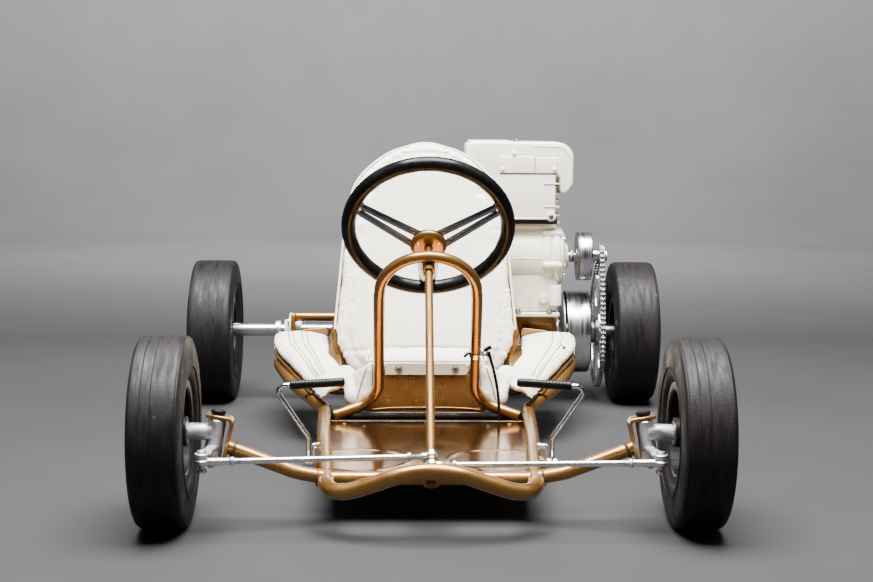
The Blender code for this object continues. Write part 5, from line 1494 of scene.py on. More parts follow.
    lip = [(low.x + 0.012, low.y - 0.0008, low.z + 0.003), (-0.06, low.y - 0.0008, low.z + 0.006),
           (0, low.y - 0.0008, low.z + 0.0068), (0.06, low.y - 0.0008, low.z + 0.006),
           (high.x - 0.012, low.y - 0.0008, low.z + 0.003)]
    s.tube(smooth_path(lip, 10), 0.0013, GOLD, 10)
    s.block((low.x + 0.004, low.y - 0.0050, low.z - 0.0120),
            (high.x - 0.004, low.y + 0.0040, low.z - 0.0006), GOLD, 0.0030, 3)
    # Near-black strip under the base's front edge: painted shade in the gap above the floor pan
    s.block((low.x + 0.006, low.y - 0.0012, low.z - 0.0010),
            (high.x - 0.006, low.y + 0.0030, low.z + 0.0012), RECESS_SHADE, 0.0004, 1)
    for x in (-0.085, 0.085):
        s.lathe([(0.0036, 0), (0.0034, 0.0010), (0.0020, 0.0018), (0.0001, 0.0020)],
                placed((x, low.y, low.z + 0.030), -Y), STEEL, 20)
    s.made("seat_pan_box", "frame", "gold_paint", "seat_base")

    # Wings: formed sheet with a rolled outer edge, and their pads
    for name, side in (("left", 1), ("right", -1)):
        def wing(u, v, lift=0.0, crown=0.0, side=side):
            p = along(OUTER, v).lerp(along(INNER, v), u)
            return mirror_x(p + Z * (lift + crown * math.sin(math.pi * max(0, min(1, u)))), side)

        s = Shape()
        for lift in (-0.0011, 0.0011):
            s.grid(16, 36, lambda u, v, w=wing, z=lift: w(u * 1.22, v, z), GOLD)
        s.tube([wing(0, v / 50) for v in range(51)], 0.0030, GOLD, 12)
        s.tube([wing(1.22, v / 50) for v in range(51)], 0.0016, GOLD, 10)
        for v in (0, 1):
            s.tube([wing(u * 0.061, v) for u in range(21)], 0.0016, GOLD, 10)
        wall = bend([(0.186, 0.128, 0), (0.252, 0.130, 0), (0.236, 0.160, 0), (0.187, 0.165, 0),
                     (0.186, 0.1285, 0)], 0.006, 5)
        s.plate([(p.x, p.y) for p in wall[:-1]], 0.0022,
                Matrix(((side, 0, 0, 0), (0, 0, 1, 0.869), (0, 1, 0, 0), (0, 0, 0, 1))), GOLD, 0.0004)
        # Tab that ties the wing to the frame's side tube
        s.block(mirror_x((0.2000, 0.5570, 0.0860), side), mirror_x((0.2120, 0.5800, 0.0900), side), WORN,
                0.001, 2)
        s.made("wing_sheet_" + name, "frame", "gold_paint", "side_wing_" + name)

        def pad_place(u, v, h, w=wing):
            p = w(-0.025 + u * (1.00 + 0.06 * v + 0.75 * max(0.0, 0.55 - v)), -0.150 + v * 1.100, 0.0125,
                  0.005)
            return p + Z * h

        bm = closed_pad(pad_place, 20, 30, 0.0160, 0.55)
        roll = Shape()
        line = smooth_path([mirror_x(p, side) for p in (
            (0.1280, 0.5400, 0.0730), (0.1285, 0.550, 0.0900), (0.1300, 0.562, 0.1060),
                                                        (0.1340, 0.580, 0.1180),
            (0.1440, 0.620, 0.1240))], 5)
        sizes = [0.0138 * math.sqrt(max(0.18, 1 - (2 * i / (len(line) - 1) - 1) ** 6))
                 for i in range(len(line))]
        roll.tube(line, sizes, VINYL, 20)
        bmesh.ops.recalc_face_normals(roll.bm, faces=roll.bm.faces)
        extra = bpy.data.meshes.new("roll")
        roll.bm.to_mesh(extra)
        roll.bm.free()
        bm.from_mesh(extra)
        corners = [mirror_x(p, side)
                   for p in ((0.1280, 0.568, 0.130), (0.0930, 0.5390, 0.148), (0.1190, 0.540, 0.068),
                                               (0.0930, 0.5390, 0.094))]

        def gusset(u, v, h, c=corners):
            return c[2].lerp(c[3], u).lerp(c[0].lerp(c[1], u),
                                           v) + Vector((0, -h - 0.006 * math.sin(math.pi * u), h * 0.4))

        flap = closed_pad(gusset, 12, 14, 0.0140, 0.3)
        flap.to_mesh(extra)
        flap.free()
        bm.from_mesh(extra)
        bpy.data.meshes.remove(extra)
        pad = stuffed("wing_cushion_" + name, bm, 0.0042, 0.0045, 4.0)
        dense(pad)
        rows = []
        for u in ((0.24, 0.33, 0.50, 0.60) if side < 0 else (0.22, 0.40)):
            line = on_surface(pad,
                              [wing(u + 0.02 * math.sin(3 * v / 60), v / 60, 0.02) for v in range(0, 56)],
                              (0, 0, -1))
            pressed(pad, line, 0.0026, 0.0024)
            rows.append(line)
        fold = [mirror_x(p, side)
                for p in ((0.1425, 0.530, 0.082), (0.1430, 0.545, 0.100), (0.1450, 0.560, 0.115))]
        pressed(pad, on_surface(pad, smooth_path(fold, 10), (0, 0.5, -0.9)), 0.0030, 0.0035)
        wrinkled(pad, 0.0016, 26, 3.0 + side, lambda p: max(0.0, 1 - abs(p.y - 0.575) / 0.07))
        wrinkled(pad, 0.0009, 12, 7.0 + side)
        s = Shape()
        for line in rows:
            sewn = on_surface(pad, line, (0, 0, -1))
            stitched(s, [p + Z * 0.0001 for p in sewn])
            if len(sewn) > 8:
                s.tube([p + Z * 0.0006 for p in smooth_path(sewn, 2)], 0.0010, THREAD, 8)
        seam = smooth_path([mirror_x(p, side)
                            for p in ((0.1030, 0.5, 0.140), (0.1120, 0.5, 0.115), (0.1200, 0.5, 0.086))],
                           10)
        seam = on_surface(pad, seam, (0, 1, 0))
        if len(seam) > 8:
            s.tube([p - Y * 0.0004 for p in smooth_path(seam, 2)], 0.0010, THREAD, 8)
        hem = on_surface(pad, [wing(0.075, v / 60, 0.02) for v in range(2, 56)], (0, 0, -1))
        s.tube(smooth_path(hem, 2), 0.0012, PIPING, 8)
        if side > 0:
            c = on_surface(pad, [(0.2490, 0.690, 0.15)], (0, 0, -1))[0]
            s.lathe([(0.0062, 0), (0.0060, 0.0012), (0.0046, 0.0026), (0.0022, 0.0030), (0.0001, 0.0026)],
                    placed(c, (0.2, -0.25, 1)), CHROME, 28)
        s.made("wing_stitching_" + name, "frame", "white_vinyl")
        upholstered(pad, "frame", "white_vinyl", 0.6, "wing_pad_" + name)


def floor_pan():
    s = Shape()

    def place(u, v, top=1):
        y = 0.030 + 0.470 * v
        half = 0.158 + 0.024 * (y - 0.030) / 0.470
        rail = 0.147 + (y - 0.002) * (0.166 - 0.147) / 0.298
        limit = min(half, rail - RAIL_R * 0.55)
        x = (2 * u - 1) * limit
        z = 0.0525 + 0.0010 * top
        for cx, cy, r in ((-0.105, 0.190, 0.075), (0.105, 0.190, 0.075)):
            d = math.hypot(x - cx, y - cy)
            z += 0.0012 * math.exp(-(((d - r) / 0.004) ** 2))
        z += 0.00025 * noise.noise(Vector((x * 14, y * 14, 0)))
        return Vector((x, y, z))

    # The pan's top uses the darker copy of the gold paint: painted shade, while its underside keeps the plain
    # gold
    s.grid(110, 150, place, PAN_GOLD_SHADED)
    s.grid(20, 30, lambda u, v: place(u, v, -1) - Z * 0.0001, GOLD)
    for v in (0, 1):
        s.tube([place(u / 40, v) - Z * 0.0010 for u in range(41)], 0.0014, GOLD, 8)
    for x, y in ((-0.125, 0.045), (0.125, 0.045), (-0.140, 0.470), (0.140, 0.470), (0, 0.045), (0, 0.480)):
        s.lathe([(0.0046, 0), (0.0044, 0.0012), (0.0028, 0.0022), (0.0001, 0.0024)],
                placed((x, y, 0.0534), Z), WORN, 20)
    s.made("floor_sheet", "frame", "gold_paint", "floor_pan", angle=60)


# ---------------------------------------------------------------- engine
def engine():
    cy = CRANK.y
    s = Shape()
    # Mounting plate, folded down at the front and back
    s.block((0.170, 0.936, 0.1775), (0.2560, 1.110, 0.1810), GOLD, 0.0012, 2)
    s.block((0.170, 0.936, 0.1345), (0.2560, 0.9395, 0.1805), GOLD, 0.0012, 2)
    s.block((0.170, 1.1065, 0.1345), (0.2560, 1.110, 0.1805), GOLD, 0.0012, 2)
    for x in (0.170, 0.2525):
        s.plate([(0.938, 0.150), (0.975, 0.150), (0.975, 0.162), (0.998, 0.162), (0.998, 0.172),
                 (1.109, 0.172),
                 (1.109, 0.1800), (0.938, 0.1800)], 0.0034,
                Matrix(((0, 0, 1, x + 0.00175), (1, 0, 0, 0), (0, 1, 0, 0), (0, 0, 0, 1))), GOLD, 0.0005)
    s.made("mount_plate", "frame", "gold_paint", "engine_mount")

    s = Shape()
    core = placed((0, cy, CRANK.z), X, Y)
    s.lathe([(0.0135, 0.158), (0.0480, 0.158), (0.0560, 0.1595), (0.0590, 0.1630), (0.0600, 0.1700),
             (0.0600, 0.2280),
             (0.0606, 0.2310), (0.0632, 0.2340), (0.0640, 0.2370), (0.0640, 0.2440), (0.0622, 0.2462),
             (0.0604, 0.2480), (0.0604, 0.2500), (0.0632, 0.2515), (0.0640, 0.2535), (0.0640, 0.2610),
             (0.0630, 0.2635),
             (0.0600, 0.2640), (0.0135, 0.2640)], core, CAST_WHITE, 96, True)
    for i in range(6):
        a = math.radians(60 * i + 12)
        p = Vector((0.2300, cy + 0.0625 * math.cos(a), CRANK.z + 0.0625 * math.sin(a)))
        s.lathe([(0.0045, 0), (0.0068, 0.0020), (0.0074, 0.0060), (0.0074, 0.0320), (0.0066, 0.0340),
                 (0.0001, 0.0340)],
                placed(p, X), CAST_WHITE, 24)
        s.hexagon(p + X * 0.0340, X, 0.0048, 0.0032, CAST_WHITE)
    s.block((0.1620, 0.9140, 0.1900), (0.2620, 1.0140, 0.2680), CAST_WHITE, 0.012, 5)
    s.block((0.1600, 0.9040, 0.1815), (0.2640, 1.0240, 0.1905), CAST_WHITE, 0.0030, 3)
    s.block((0.1640, 0.9220, 0.3300), (0.2600, 1.0060, 0.3640), CAST_WHITE, 0.0060, 4)
    s.block((0.1700, 0.9160, 0.3560), (0.2560, 1.0120, 0.3640), CAST_WHITE, 0.0020, 3)
    # Near-black block in the gap under the skirt: painted shade between the crankcase and the shroud
    s.block((0.1660, 0.9150, 0.3636), (0.2580, 0.9300, 0.3742), RECESS_SHADE, 0.0006, 1)
    for x in (0.183, 0.244):
        s.disc((x, 0.9105, 0.1904), Z, 0.0088, 0.0012, 24)
        s.hexagon((x, 0.9105, 0.1916), Z, 0.0052, 0.0045, CHAIN)
    # Drain boss at the front corner, web ribs and a raised pad on the sump
    s.lathe([(0.0105, -0.0200), (0.0120, -0.0190), (0.0120, 0.0185), (0.0112, 0.0200), (0.0060, 0.0205),
             (0.0001, 0.0205)],
            placed((0.2555, 0.9135, 0.2240), Z), CAST_WHITE, 32)
    s.hexagon((0.2555, 0.9135, 0.2442), Z, 0.0042, 0.0028, ZINC)
    s.lathe([(0.0090, 0), (0.0096, 0.0030), (0.0096, 0.0080), (0.0084, 0.0100), (0.0001, 0.0100)],
            placed((0.2330, 0.9150, 0.2180), -Y), CAST_WHITE, 28)
    for x in (0.1780, 0.2060):
        s.plate([(0.914, 0.198), (0.9185, 0.262), (0.930, 0.262), (0.930, 0.198)], 0.0040,
                Matrix(((0, 0, 1, x), (1, 0, 0, -0.0022), (0, 1, 0, 0), (0, 0, 0, 1))), CAST_WHITE, 0.001)
    # Split line on the front of the case, and a short vent stub above it
    s.tube([Vector((x, cy - 0.0600, CRANK.z)) for x in (0.163, 0.20, 0.228)], 0.0010, CAST_WHITE, 8)
    s.tube([Vector((0.2150, 0.9235, z)) for z in (0.3520, 0.3600, 0.3700)], 0.0024, CAST_WHITE, 12)
    s.made("engine_case", "frame", "white_paint", "crankcase", angle=40)

    s = Shape()
    s.lathe([(0.0137, 0.2645), (0.0550, 0.2645), (0.0560, 0.2655), (0.0560, 0.2690), (0.0545, 0.2705),
             (0.0500, 0.2738),
             (0.0440, 0.2745), (0.0300, 0.2745), (0.0270, 0.2755), (0.0240, 0.2815), (0.0225, 0.2830),
             (0.0137, 0.2830)], core, CAST_WHITE, 80, True)
    for i in range(4):
        a = math.radians(45 + 90 * i)
        p = Vector((0.2715, cy + 0.050 * math.cos(a), CRANK.z + 0.050 * math.sin(a)))
        s.disc(p, X, 0.0064, 0.0012, 20)
        s.hexagon(p + X * 0.0012, X, 0.0045, 0.0034, ZINC)
    for i in range(8):
        a = math.radians(45 * i + 22)
        s.plate([(0.026, -0.0012), (0.047, -0.0012), (0.047, 0.0012), (0.026, 0.0012)], 0.0026,
                Matrix.Translation((0.2752, 0, 0)) @ core @ Matrix.Rotation(a, 4, "Z"), CAST_WHITE, 0.0004)
    s.made("drive_side_cover", "frame", "white_paint", "side_cover", angle=40)

    # Finned cylinder and head: barrel and thin fins with rounded corners
    for name, node, low, pitch, fins, top in (("cylinder_fins", "cylinder", 0.3645, 0.0140, 7, 0.4520),
                                              ("head_fins", "cylinder_head", 0.4530, 0.0100, 3, 0.4765)):
        s = Shape()
        s.block((0.1750, cy - 0.0400, low), (0.2470, cy + 0.0400, top), CAST_WHITE, 0.008, 4)
        for i in range(fins):
            z = low + pitch * i
            outline = bend([(0.157, cy - 0.0450, 0), (0.265, cy - 0.0450, 0), (0.265, cy + 0.0450, 0),
                            (0.157, cy + 0.0450, 0), (0.157, cy - 0.0448, 0)], 0.010, 6)[:-1]
            s.plate([(p.x, p.y) for p in outline], 0.0028, Matrix.Translation((0, 0, z + 0.00175)),
                    CAST_WHITE, 0.0005)
        s.made(name, "frame", "white_paint", node)
    s = Shape()
    c = Vector((0.211, cy, 0))
    s.rod(c + Z * 0.4580, c + Z * 0.4770, 0.0060, STEEL, 24)
    s.hexagon(c + Z * 0.4770, Z, 0.0090, 0.0070, STEEL, dome=False)
    s.lathe([(0.0056, 0.4840), (0.0050, 0.4860), (0.0056, 0.4875), (0.0050, 0.4895), (0.0056, 0.4910),
             (0.0046, 0.4935),
             (0.0030, 0.4950), (0.0030, 0.4985), (0.0001, 0.4990)], placed(c, Z), WHITE, 28)
    s.made("plug", "frame", "white_paint", "spark_plug")

    # Cooling shroud: fan housing, riser and the rounded hood over the cylinder
    s = Shape()
    s.lathe([(0.0300, 0.0800), (0.0790, 0.0800), (0.0830, 0.0812), (0.0852, 0.0840), (0.0860, 0.0880),
             (0.0860, 0.1490),
             (0.0852, 0.1500), (0.0832, 0.1500), (0.0832, 0.0890), (0.0822, 0.0852), (0.0790, 0.0830),
             (0.0300, 0.0830)], core, WHITE, 96, True)
    # The fan housing's vents are near-black plates: painted shade inside the openings
    for i in range(10):
        a0 = math.radians(36 * i)
        s.plate([(0.034, -0.0020), (0.058, -0.0034), (0.058, 0.0034), (0.034, 0.0020)], 0.0012,
                Matrix.Translation((0.0794, 0, 0)) @ core @ Matrix.Rotation(a0, 4, "Z"), RECESS_SHADE, 0.0002)
    s.block((0.0810, 0.9012, 0.3000), (0.1490, 0.9052, 0.4820), WHITE, 0.0016, 3)
    s.block((0.0810, 1.0228, 0.3000), (0.1490, 1.0268, 0.4820), WHITE, 0.0016, 3)
    s.block((0.0810, 0.9012, 0.3300), (0.0850, 1.0268, 0.4820), WHITE, 0.0016, 3)
    # Hood: a deep box with its upper outer corner rounded large
    corner = bend([(0.2870, 0.4420, 0), (0.2870, 0.5215, 0), (0.2000, 0.5225, 0)], 0.031, 14)
    shape = [(0.0800, 0.4560), (0.2580, 0.4560), (0.2600, 0.4530), (0.2610, 0.4300), (0.2640, 0.4240),
             (0.2700, 0.4225),
             (0.2790, 0.4290), (0.2850, 0.4380)]
    shape += [(p.x, p.y) for p in corner] + [(0.0980, 0.5232), (0.0860, 0.5218), (0.0800, 0.5170),
                                             (0.0780, 0.5100),
                                             (0.0780, 0.4620)]
    bm = bmesh.new()
    face = bm.faces.new([bm.verts.new((x, 0.9010, z)) for x, z in shape])
    grown = bmesh.ops.extrude_face_region(bm, geom=[face])
    bmesh.ops.translate(bm, verts=[v for v in grown["geom"] if isinstance(v, bmesh.types.BMVert)],
                        vec=(0, 0.1260, 0))
    bmesh.ops.recalc_face_normals(bm, faces=bm.faces)
    rims = [e for e in bm.edges if abs(e.verts[0].co.y - e.verts[1].co.y) < 1e-5]
    bmesh.ops.bevel(bm, geom=rims, offset=0.0052, segments=5, affect="EDGES", profile=0.5)
    s.copied(bm, WHITE)
    # The bolted-on end cap's flange shows as a second line inside the rounded corner
    cap = bend([(0.2790, 0.4440, 0), (0.2790, 0.5140, 0), (0.2100, 0.5150, 0)], 0.026, 14)
    s.tube([Vector((p.x, 0.9016, p.y)) for p in cap], 0.0016, WHITE, 10)
    s.tube([Vector((0.2795, 0.9030 + 0.122 * i / 10, 0.4420)) for i in range(11)], 0.0016, WHITE, 10)
    # Skirt in front of the cylinder, its seams, stiffening steps and the folded lower edge; the seams and the
    # undersides of the steps are near-black strips, painted shade in the gaps
    s.block((0.1450, 0.9006, 0.3740), (0.2520, 0.9046, 0.4640), WHITE, 0.0012, 3)
    s.block((0.1450, 0.9020, 0.3740), (0.1490, 0.9300, 0.4640), WHITE, 0.0012, 2)
    s.block((0.1440, 0.8990, 0.4625), (0.2120, 0.9040, 0.4950), WHITE, 0.0016, 3)
    s.block((0.2130, 0.8994, 0.4625), (0.2560, 0.9040, 0.4930), WHITE, 0.0016, 3)
    s.block((0.1440, 0.9003, 0.4600), (0.2560, 0.9030, 0.4622), RECESS_SHADE, 0.0003, 1)
    s.block((0.2122, 0.9003, 0.4620), (0.2132, 0.9030, 0.4950), RECESS_SHADE, 0.0002, 1)
    for z in (0.3965, 0.4410):
        s.block((0.2300, 0.8995, z), (0.2600, 0.9030, z + 0.0030), WHITE, 0.0010, 2)
        s.block((0.2300, 0.9000, z - 0.0010), (0.2600, 0.9030, z), RECESS_SHADE, 0.0002, 1)
    s.tube([(0.1450, 0.9020, 0.3750), (0.2520, 0.9020, 0.3750)], 0.0022, WHITE, 12)
    s.lathe([(0.0090, 0), (0.0090, 0.0030), (0.0080, 0.0040), (0.0001, 0.0040)],
            placed((0.2440, 0.9010, 0.3790), -Y), WHITE, 28)
    s.hexagon((0.2440, 0.8968, 0.3790), -Y, 0.0050, 0.0030, CHAIN)
    for x, z in ((0.1720, 0.5000), (0.1500, 0.4700), (0.2500, 0.4700)):
        s.lathe([(0.0052, 0), (0.0050, 0.0014), (0.0034, 0.0030), (0.0001, 0.0033)],
                placed((x, 0.9006, z), -Y), WHITE, 24)
    # Raised ridge along the hood's top, and a cap screw
    s.block((0.0850, 0.9080, 0.5190), (0.1650, 1.0200, 0.5245), WHITE, 0.0030, 4)
    s.block((0.1650, 0.9230, 0.5180), (0.1850, 0.9550, 0.5230), WHITE, 0.0040, 4)
    s.hexagon((0.1780, 0.9400, 0.5215), Z, 0.0060, 0.0050, CHAIN)
    s.disc((0.1780, 0.9400, 0.5210), Z, 0.0085, 0.0008, 24)
    s.made("engine_shroud", "frame", "white_paint", "blower_shroud", angle=42)

    s = Shape()
    s.lathe([(0.0001, 0.0570), (0.0180, 0.0570), (0.0200, 0.0580), (0.0480, 0.0580), (0.0520, 0.0590),
             (0.0600, 0.0650),
             (0.0618, 0.0680), (0.0620, 0.0780), (0.0640, 0.0795), (0.0560, 0.0795), (0.0556, 0.0690),
             (0.0480, 0.0610),
             (0.0001, 0.0605)], core, WHITE, 80)
    # Slots in the starter cover, drawn as near-black plates: painted shade inside them
    for i in range(12):
        a = 2 * math.pi * i / 12
        s.plate([(0.026, -0.0016), (0.046, -0.0028), (0.046, 0.0028), (0.026, 0.0016)], 0.0010,
                Matrix.Translation((0.0578, 0, 0)) @ core @ Matrix.Rotation(a, 4, "Z"), RECESS_SHADE, 0.0001)
    for i in range(4):
        a = math.radians(45 + 90 * i)
        s.hexagon((0.0796, cy + 0.0600 * math.cos(a), CRANK.z + 0.0600 * math.sin(a)), -X, 0.0040, 0.0030,
                  ZINC)
    s.made("starter_cover", "frame", "white_paint", "recoil_housing", angle=40)

    s = Shape()
    low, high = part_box("starter_handle")
    c = (low + high) / 2 - SHIFT
    h = (high.z - low.z) / 2
    s.lathe([(0.0001, -h), (0.0050, -h), (0.0068, -h + 0.003), (0.0066, -h * 0.5), (0.0056, -h * 0.25),
             (0.0056, h * 0.25),
             (0.0066, h * 0.5), (0.0068, h - 0.003), (0.0050, h), (0.0001, h)], placed(c, Z), GRIP_BLACK,
            28)
    for k in range(5):
        s.lathe([(0.0056, 0), (0.0062, 0.0008), (0.0056, 0.0016)],
                placed(c + Z * (-0.006 + k * 0.0028), Z), GRIP_BLACK, 24)
    s.tube([c + Vector((0, -0.0060, 0)), c + Vector((0, -0.0110, 0.0005))], 0.0014, CABLE, 8)
    s.made("pull_grip", "starter", "black_plastic", "starter_handle")

    s = Shape()
    s.rod((0.0880, cy, CRANK.z), (0.1560, cy, CRANK.z), 0.0080, STEEL, 28)
    s.rod((0.1560, cy, CRANK.z), (0.2830, cy, CRANK.z), 0.0118, STEEL, 28)
    s.rod((0.2830, cy, CRANK.z), (0.3620, cy, CRANK.z), 0.0080, STEEL, 28)
    for x in (0.1860, 0.2220):
        s.lathe([(0.0001, 0), (0.0388, 0), (0.0400, 0.0012), (0.0400, 0.0128), (0.0388, 0.0140),
                 (0.0001, 0.0140)],
                placed((x, cy, CRANK.z - 0.004), X), STEEL, 48)
    s.rod((0.1900, cy, CRANK.z + 0.0240), (0.2300, cy, CRANK.z + 0.0240), 0.0090, STEEL, 24)
    s.lathe([(0.0081, 0.2985), (0.0170, 0.2985), (0.0180, 0.2995), (0.0180, 0.3010), (0.0400, 0.3012),
             (0.0478, 0.3016),
             (0.0484, 0.3024), (0.0484, 0.3036), (0.0440, 0.3044), (0.0440, 0.3230), (0.0430, 0.3240),
             (0.0300, 0.3240),
             (0.0300, 0.3100), (0.0081, 0.3100)], core, CHAIN, 72, True)
    s.hexagon((0.2870, cy, CRANK.z), X, 0.0135, 0.0085, CHAIN)
    s.hexagon((0.3582, cy, CRANK.z), X, 0.0110, 0.0036, ZINC)
    s.made("crank_assembly", "crank", "steel", "crankshaft", angle=34)

    s = Shape()
    s.lathe([(0.0084, 0.0920), (0.0250, 0.0920), (0.0260, 0.0930), (0.0262, 0.1090), (0.0590, 0.1100),
             (0.0680, 0.1070),
             (0.0700, 0.1080), (0.0700, 0.1230), (0.0690, 0.1240), (0.0210, 0.1240), (0.0200, 0.1250),
             (0.0200, 0.1395),
             (0.0084, 0.1400)], core, SILVER, 72, True)
    for i in range(8):
        a = math.radians(45 * i + 11)
        turn = Matrix.Translation(CRANK) @ Matrix.Rotation(a, 4, "X")
        for below in (0.0015, 0.0001):
            def blade(u, v, m=turn, below=below):
                curve = 0.003 * math.sin(u * 2.6)
                return m @ Vector((0.0925 + 0.0190 * v, 0.036 + 0.0385 * u, curve - below))

            s.grid(10, 8, blade, SILVER)
    s.hexagon((0.0922, cy, CRANK.z), -X, 0.0120, 0.0040, ZINC)
    s.made("flywheel_fan", "crank", "cast_aluminium", "flywheel", angle=40)

    # Fuel tank, carburettor, air cleaner and silencer
    s = Shape()
    tank = placed((0, 1.0900, 0.4300), X)
    profile = [(0.0001, 0.1000), (0.0340, 0.1002), (0.0440, 0.1030), (0.0475, 0.1090), (0.0480, 0.1150),
               (0.0480, 0.1730),
               (0.0492, 0.1740), (0.0492, 0.1760), (0.0480, 0.1770), (0.0480, 0.2350), (0.0475, 0.2410),
               (0.0440, 0.2470),
               (0.0340, 0.2498), (0.0001, 0.2500)]
    s.lathe(profile, tank, WHITE, 72)
    s.lathe([(0.0230, 0.4740), (0.0195, 0.4775), (0.0180, 0.4800), (0.0180, 0.4858), (0.0001, 0.4860)],
            placed((0.1750, 1.0900, 0), Z), WHITE, 40)
    for x in (0.1250, 0.2250):
        ring = [Vector((x, 1.0900 + 0.0488 * math.cos(a), 0.4300 + 0.0488 * math.sin(a)))
                for a in [2 * math.pi * i / 72 for i in range(72)]]
        s.tube(ring, 0.0020, ZINC, 8, closed=True, profile=lambda a: (0.5 * math.cos(a), math.sin(a) * 1.0))
        s.block((x - 0.006, 1.0300, 0.4180), (x + 0.006, 1.0440, 0.4210), ZINC, 0.0006, 1)
    s.rod((0.1750, 1.0900, 0.3720), (0.1750, 1.0900, 0.3850), 0.0050, ZINC, 16)
    s.made("tank", "frame", "white_paint", "fuel_tank", angle=40)
    s = Shape()

    def knurl(a, j):
        return 0.0006 * math.cos(a * 28) if 1 <= j <= 4 else 0.0

    s.lathe([(0.0001, 0.4866), (0.0200, 0.4866), (0.0208, 0.4875), (0.0208, 0.4940), (0.0200, 0.4960),
             (0.0170, 0.4972),
             (0.0080, 0.4976), (0.0060, 0.4984), (0.0001, 0.4986)], placed((0.1750, 1.0900, 0), Z), CHROME,
            112, uneven=knurl)
    s.made("tank_cap", "frame", "chrome", "fuel_cap", angle=50)

    s = Shape()
    s.block((0.1930, 1.0320, 0.2740), (0.2270, 1.0880, 0.3220), SILVER, 0.006, 4)
    s.block((0.1900, 1.0300, 0.2700), (0.2300, 1.0345, 0.3250), SILVER, 0.0018, 3)
    s.lathe([(0.0150, 0.0290), (0.0180, 0.0290), (0.0180, 0.0340), (0.0165, 0.0360), (0.0165, 0.0640),
             (0.0180, 0.0660),
             (0.0180, 0.0990), (0.0172, 0.1000), (0.0130, 0.1000), (0.0130, 0.0290)],
            placed((0.2100, 1.0000, 0.2980), Y), SILVER, 48, True)
    s.lathe([(0.0001, 0.2500), (0.0140, 0.2500), (0.0166, 0.2520), (0.0170, 0.2560), (0.0170, 0.2700),
             (0.0180, 0.2712),
             (0.0180, 0.2745), (0.0001, 0.2745)], placed((0.2100, 1.0600, 0), Z), SILVER, 40)
    s.hexagon((0.2100, 1.0600, 0.2500), -Z, 0.0060, 0.0040, ZINC)
    s.rod((0.1960, 1.0600, 0.3060), (0.1860, 1.0600, 0.3060), 0.0030, ZINC, 14)
    s.block((0.1862, 1.0520, 0.3045), (0.1878, 1.0680, 0.3180), ZINC, 0.0005, 1)
    for z in (0.2765, 0.3185):
        s.hexagon((0.2240, 1.0345, z), Y, 0.0042, 0.0030, ZINC)
    s.made("carburettor_body", "frame", "cast_aluminium", "carburettor", angle=40)

    s = Shape()
    mesh_at = placed((0.2100, 1.1005, 0.2980), Y)

    def pleat(a, j):
        return 0.0006 * math.cos(a * 36) if 3 <= j <= 6 else 0.0

    s.lathe([(0.0001, 0), (0.0300, 0), (0.0330, 0.0010), (0.0330, 0.0042), (0.0318, 0.0052),
             (0.0318, 0.0255),
             (0.0330, 0.0265), (0.0330, 0.0295), (0.0300, 0.0310), (0.0120, 0.0312), (0.0100, 0.0304),
             (0.0001, 0.0304)],
            mesh_at, SILVER, 144, uneven=pleat)
    s.hexagon((0.2100, 1.1308, 0.2980), Y, 0.0062, 0.0040, ZINC)
    s.made("air_filter", "frame", "cast_aluminium", "air_cleaner", angle=40)

    s = Shape()
    can = placed((0, 1.0800, 0.2300), X)
    s.lathe([(0.0092, 0.0850), (0.0092, 0.0970), (0.0120, 0.0990), (0.0220, 0.1005), (0.0240, 0.1030),
             (0.0246, 0.1045),
             (0.0246, 0.1060), (0.0240, 0.1070), (0.0240, 0.1270), (0.0236, 0.1280), (0.0240, 0.1290),
             (0.0240, 0.1500),
             (0.0246, 0.1510), (0.0246, 0.1525), (0.0240, 0.1535), (0.0220, 0.1560), (0.0001, 0.1560)],
            can, STEEL, 64)
    # Near-black disc inside the silencer's outlet: painted shade in the bore
    s.lathe([(0.0080, 0.0845), (0.0080, 0.0960), (0.0001, 0.0962)], can, RECESS_SHADE, 32)
    s.lathe([(0.0080, 0.0850), (0.0092, 0.0850)], can, STEEL, 32)
    s.made("exhaust_can", "frame", "steel", "silencer", angle=40)


# ---------------------------------------------------------------- pedals
PEDAL_ROD_R = 0.0036
SPRING_R, WIRE_R, SPRING_TURNS = 0.0036, 0.0006, 15


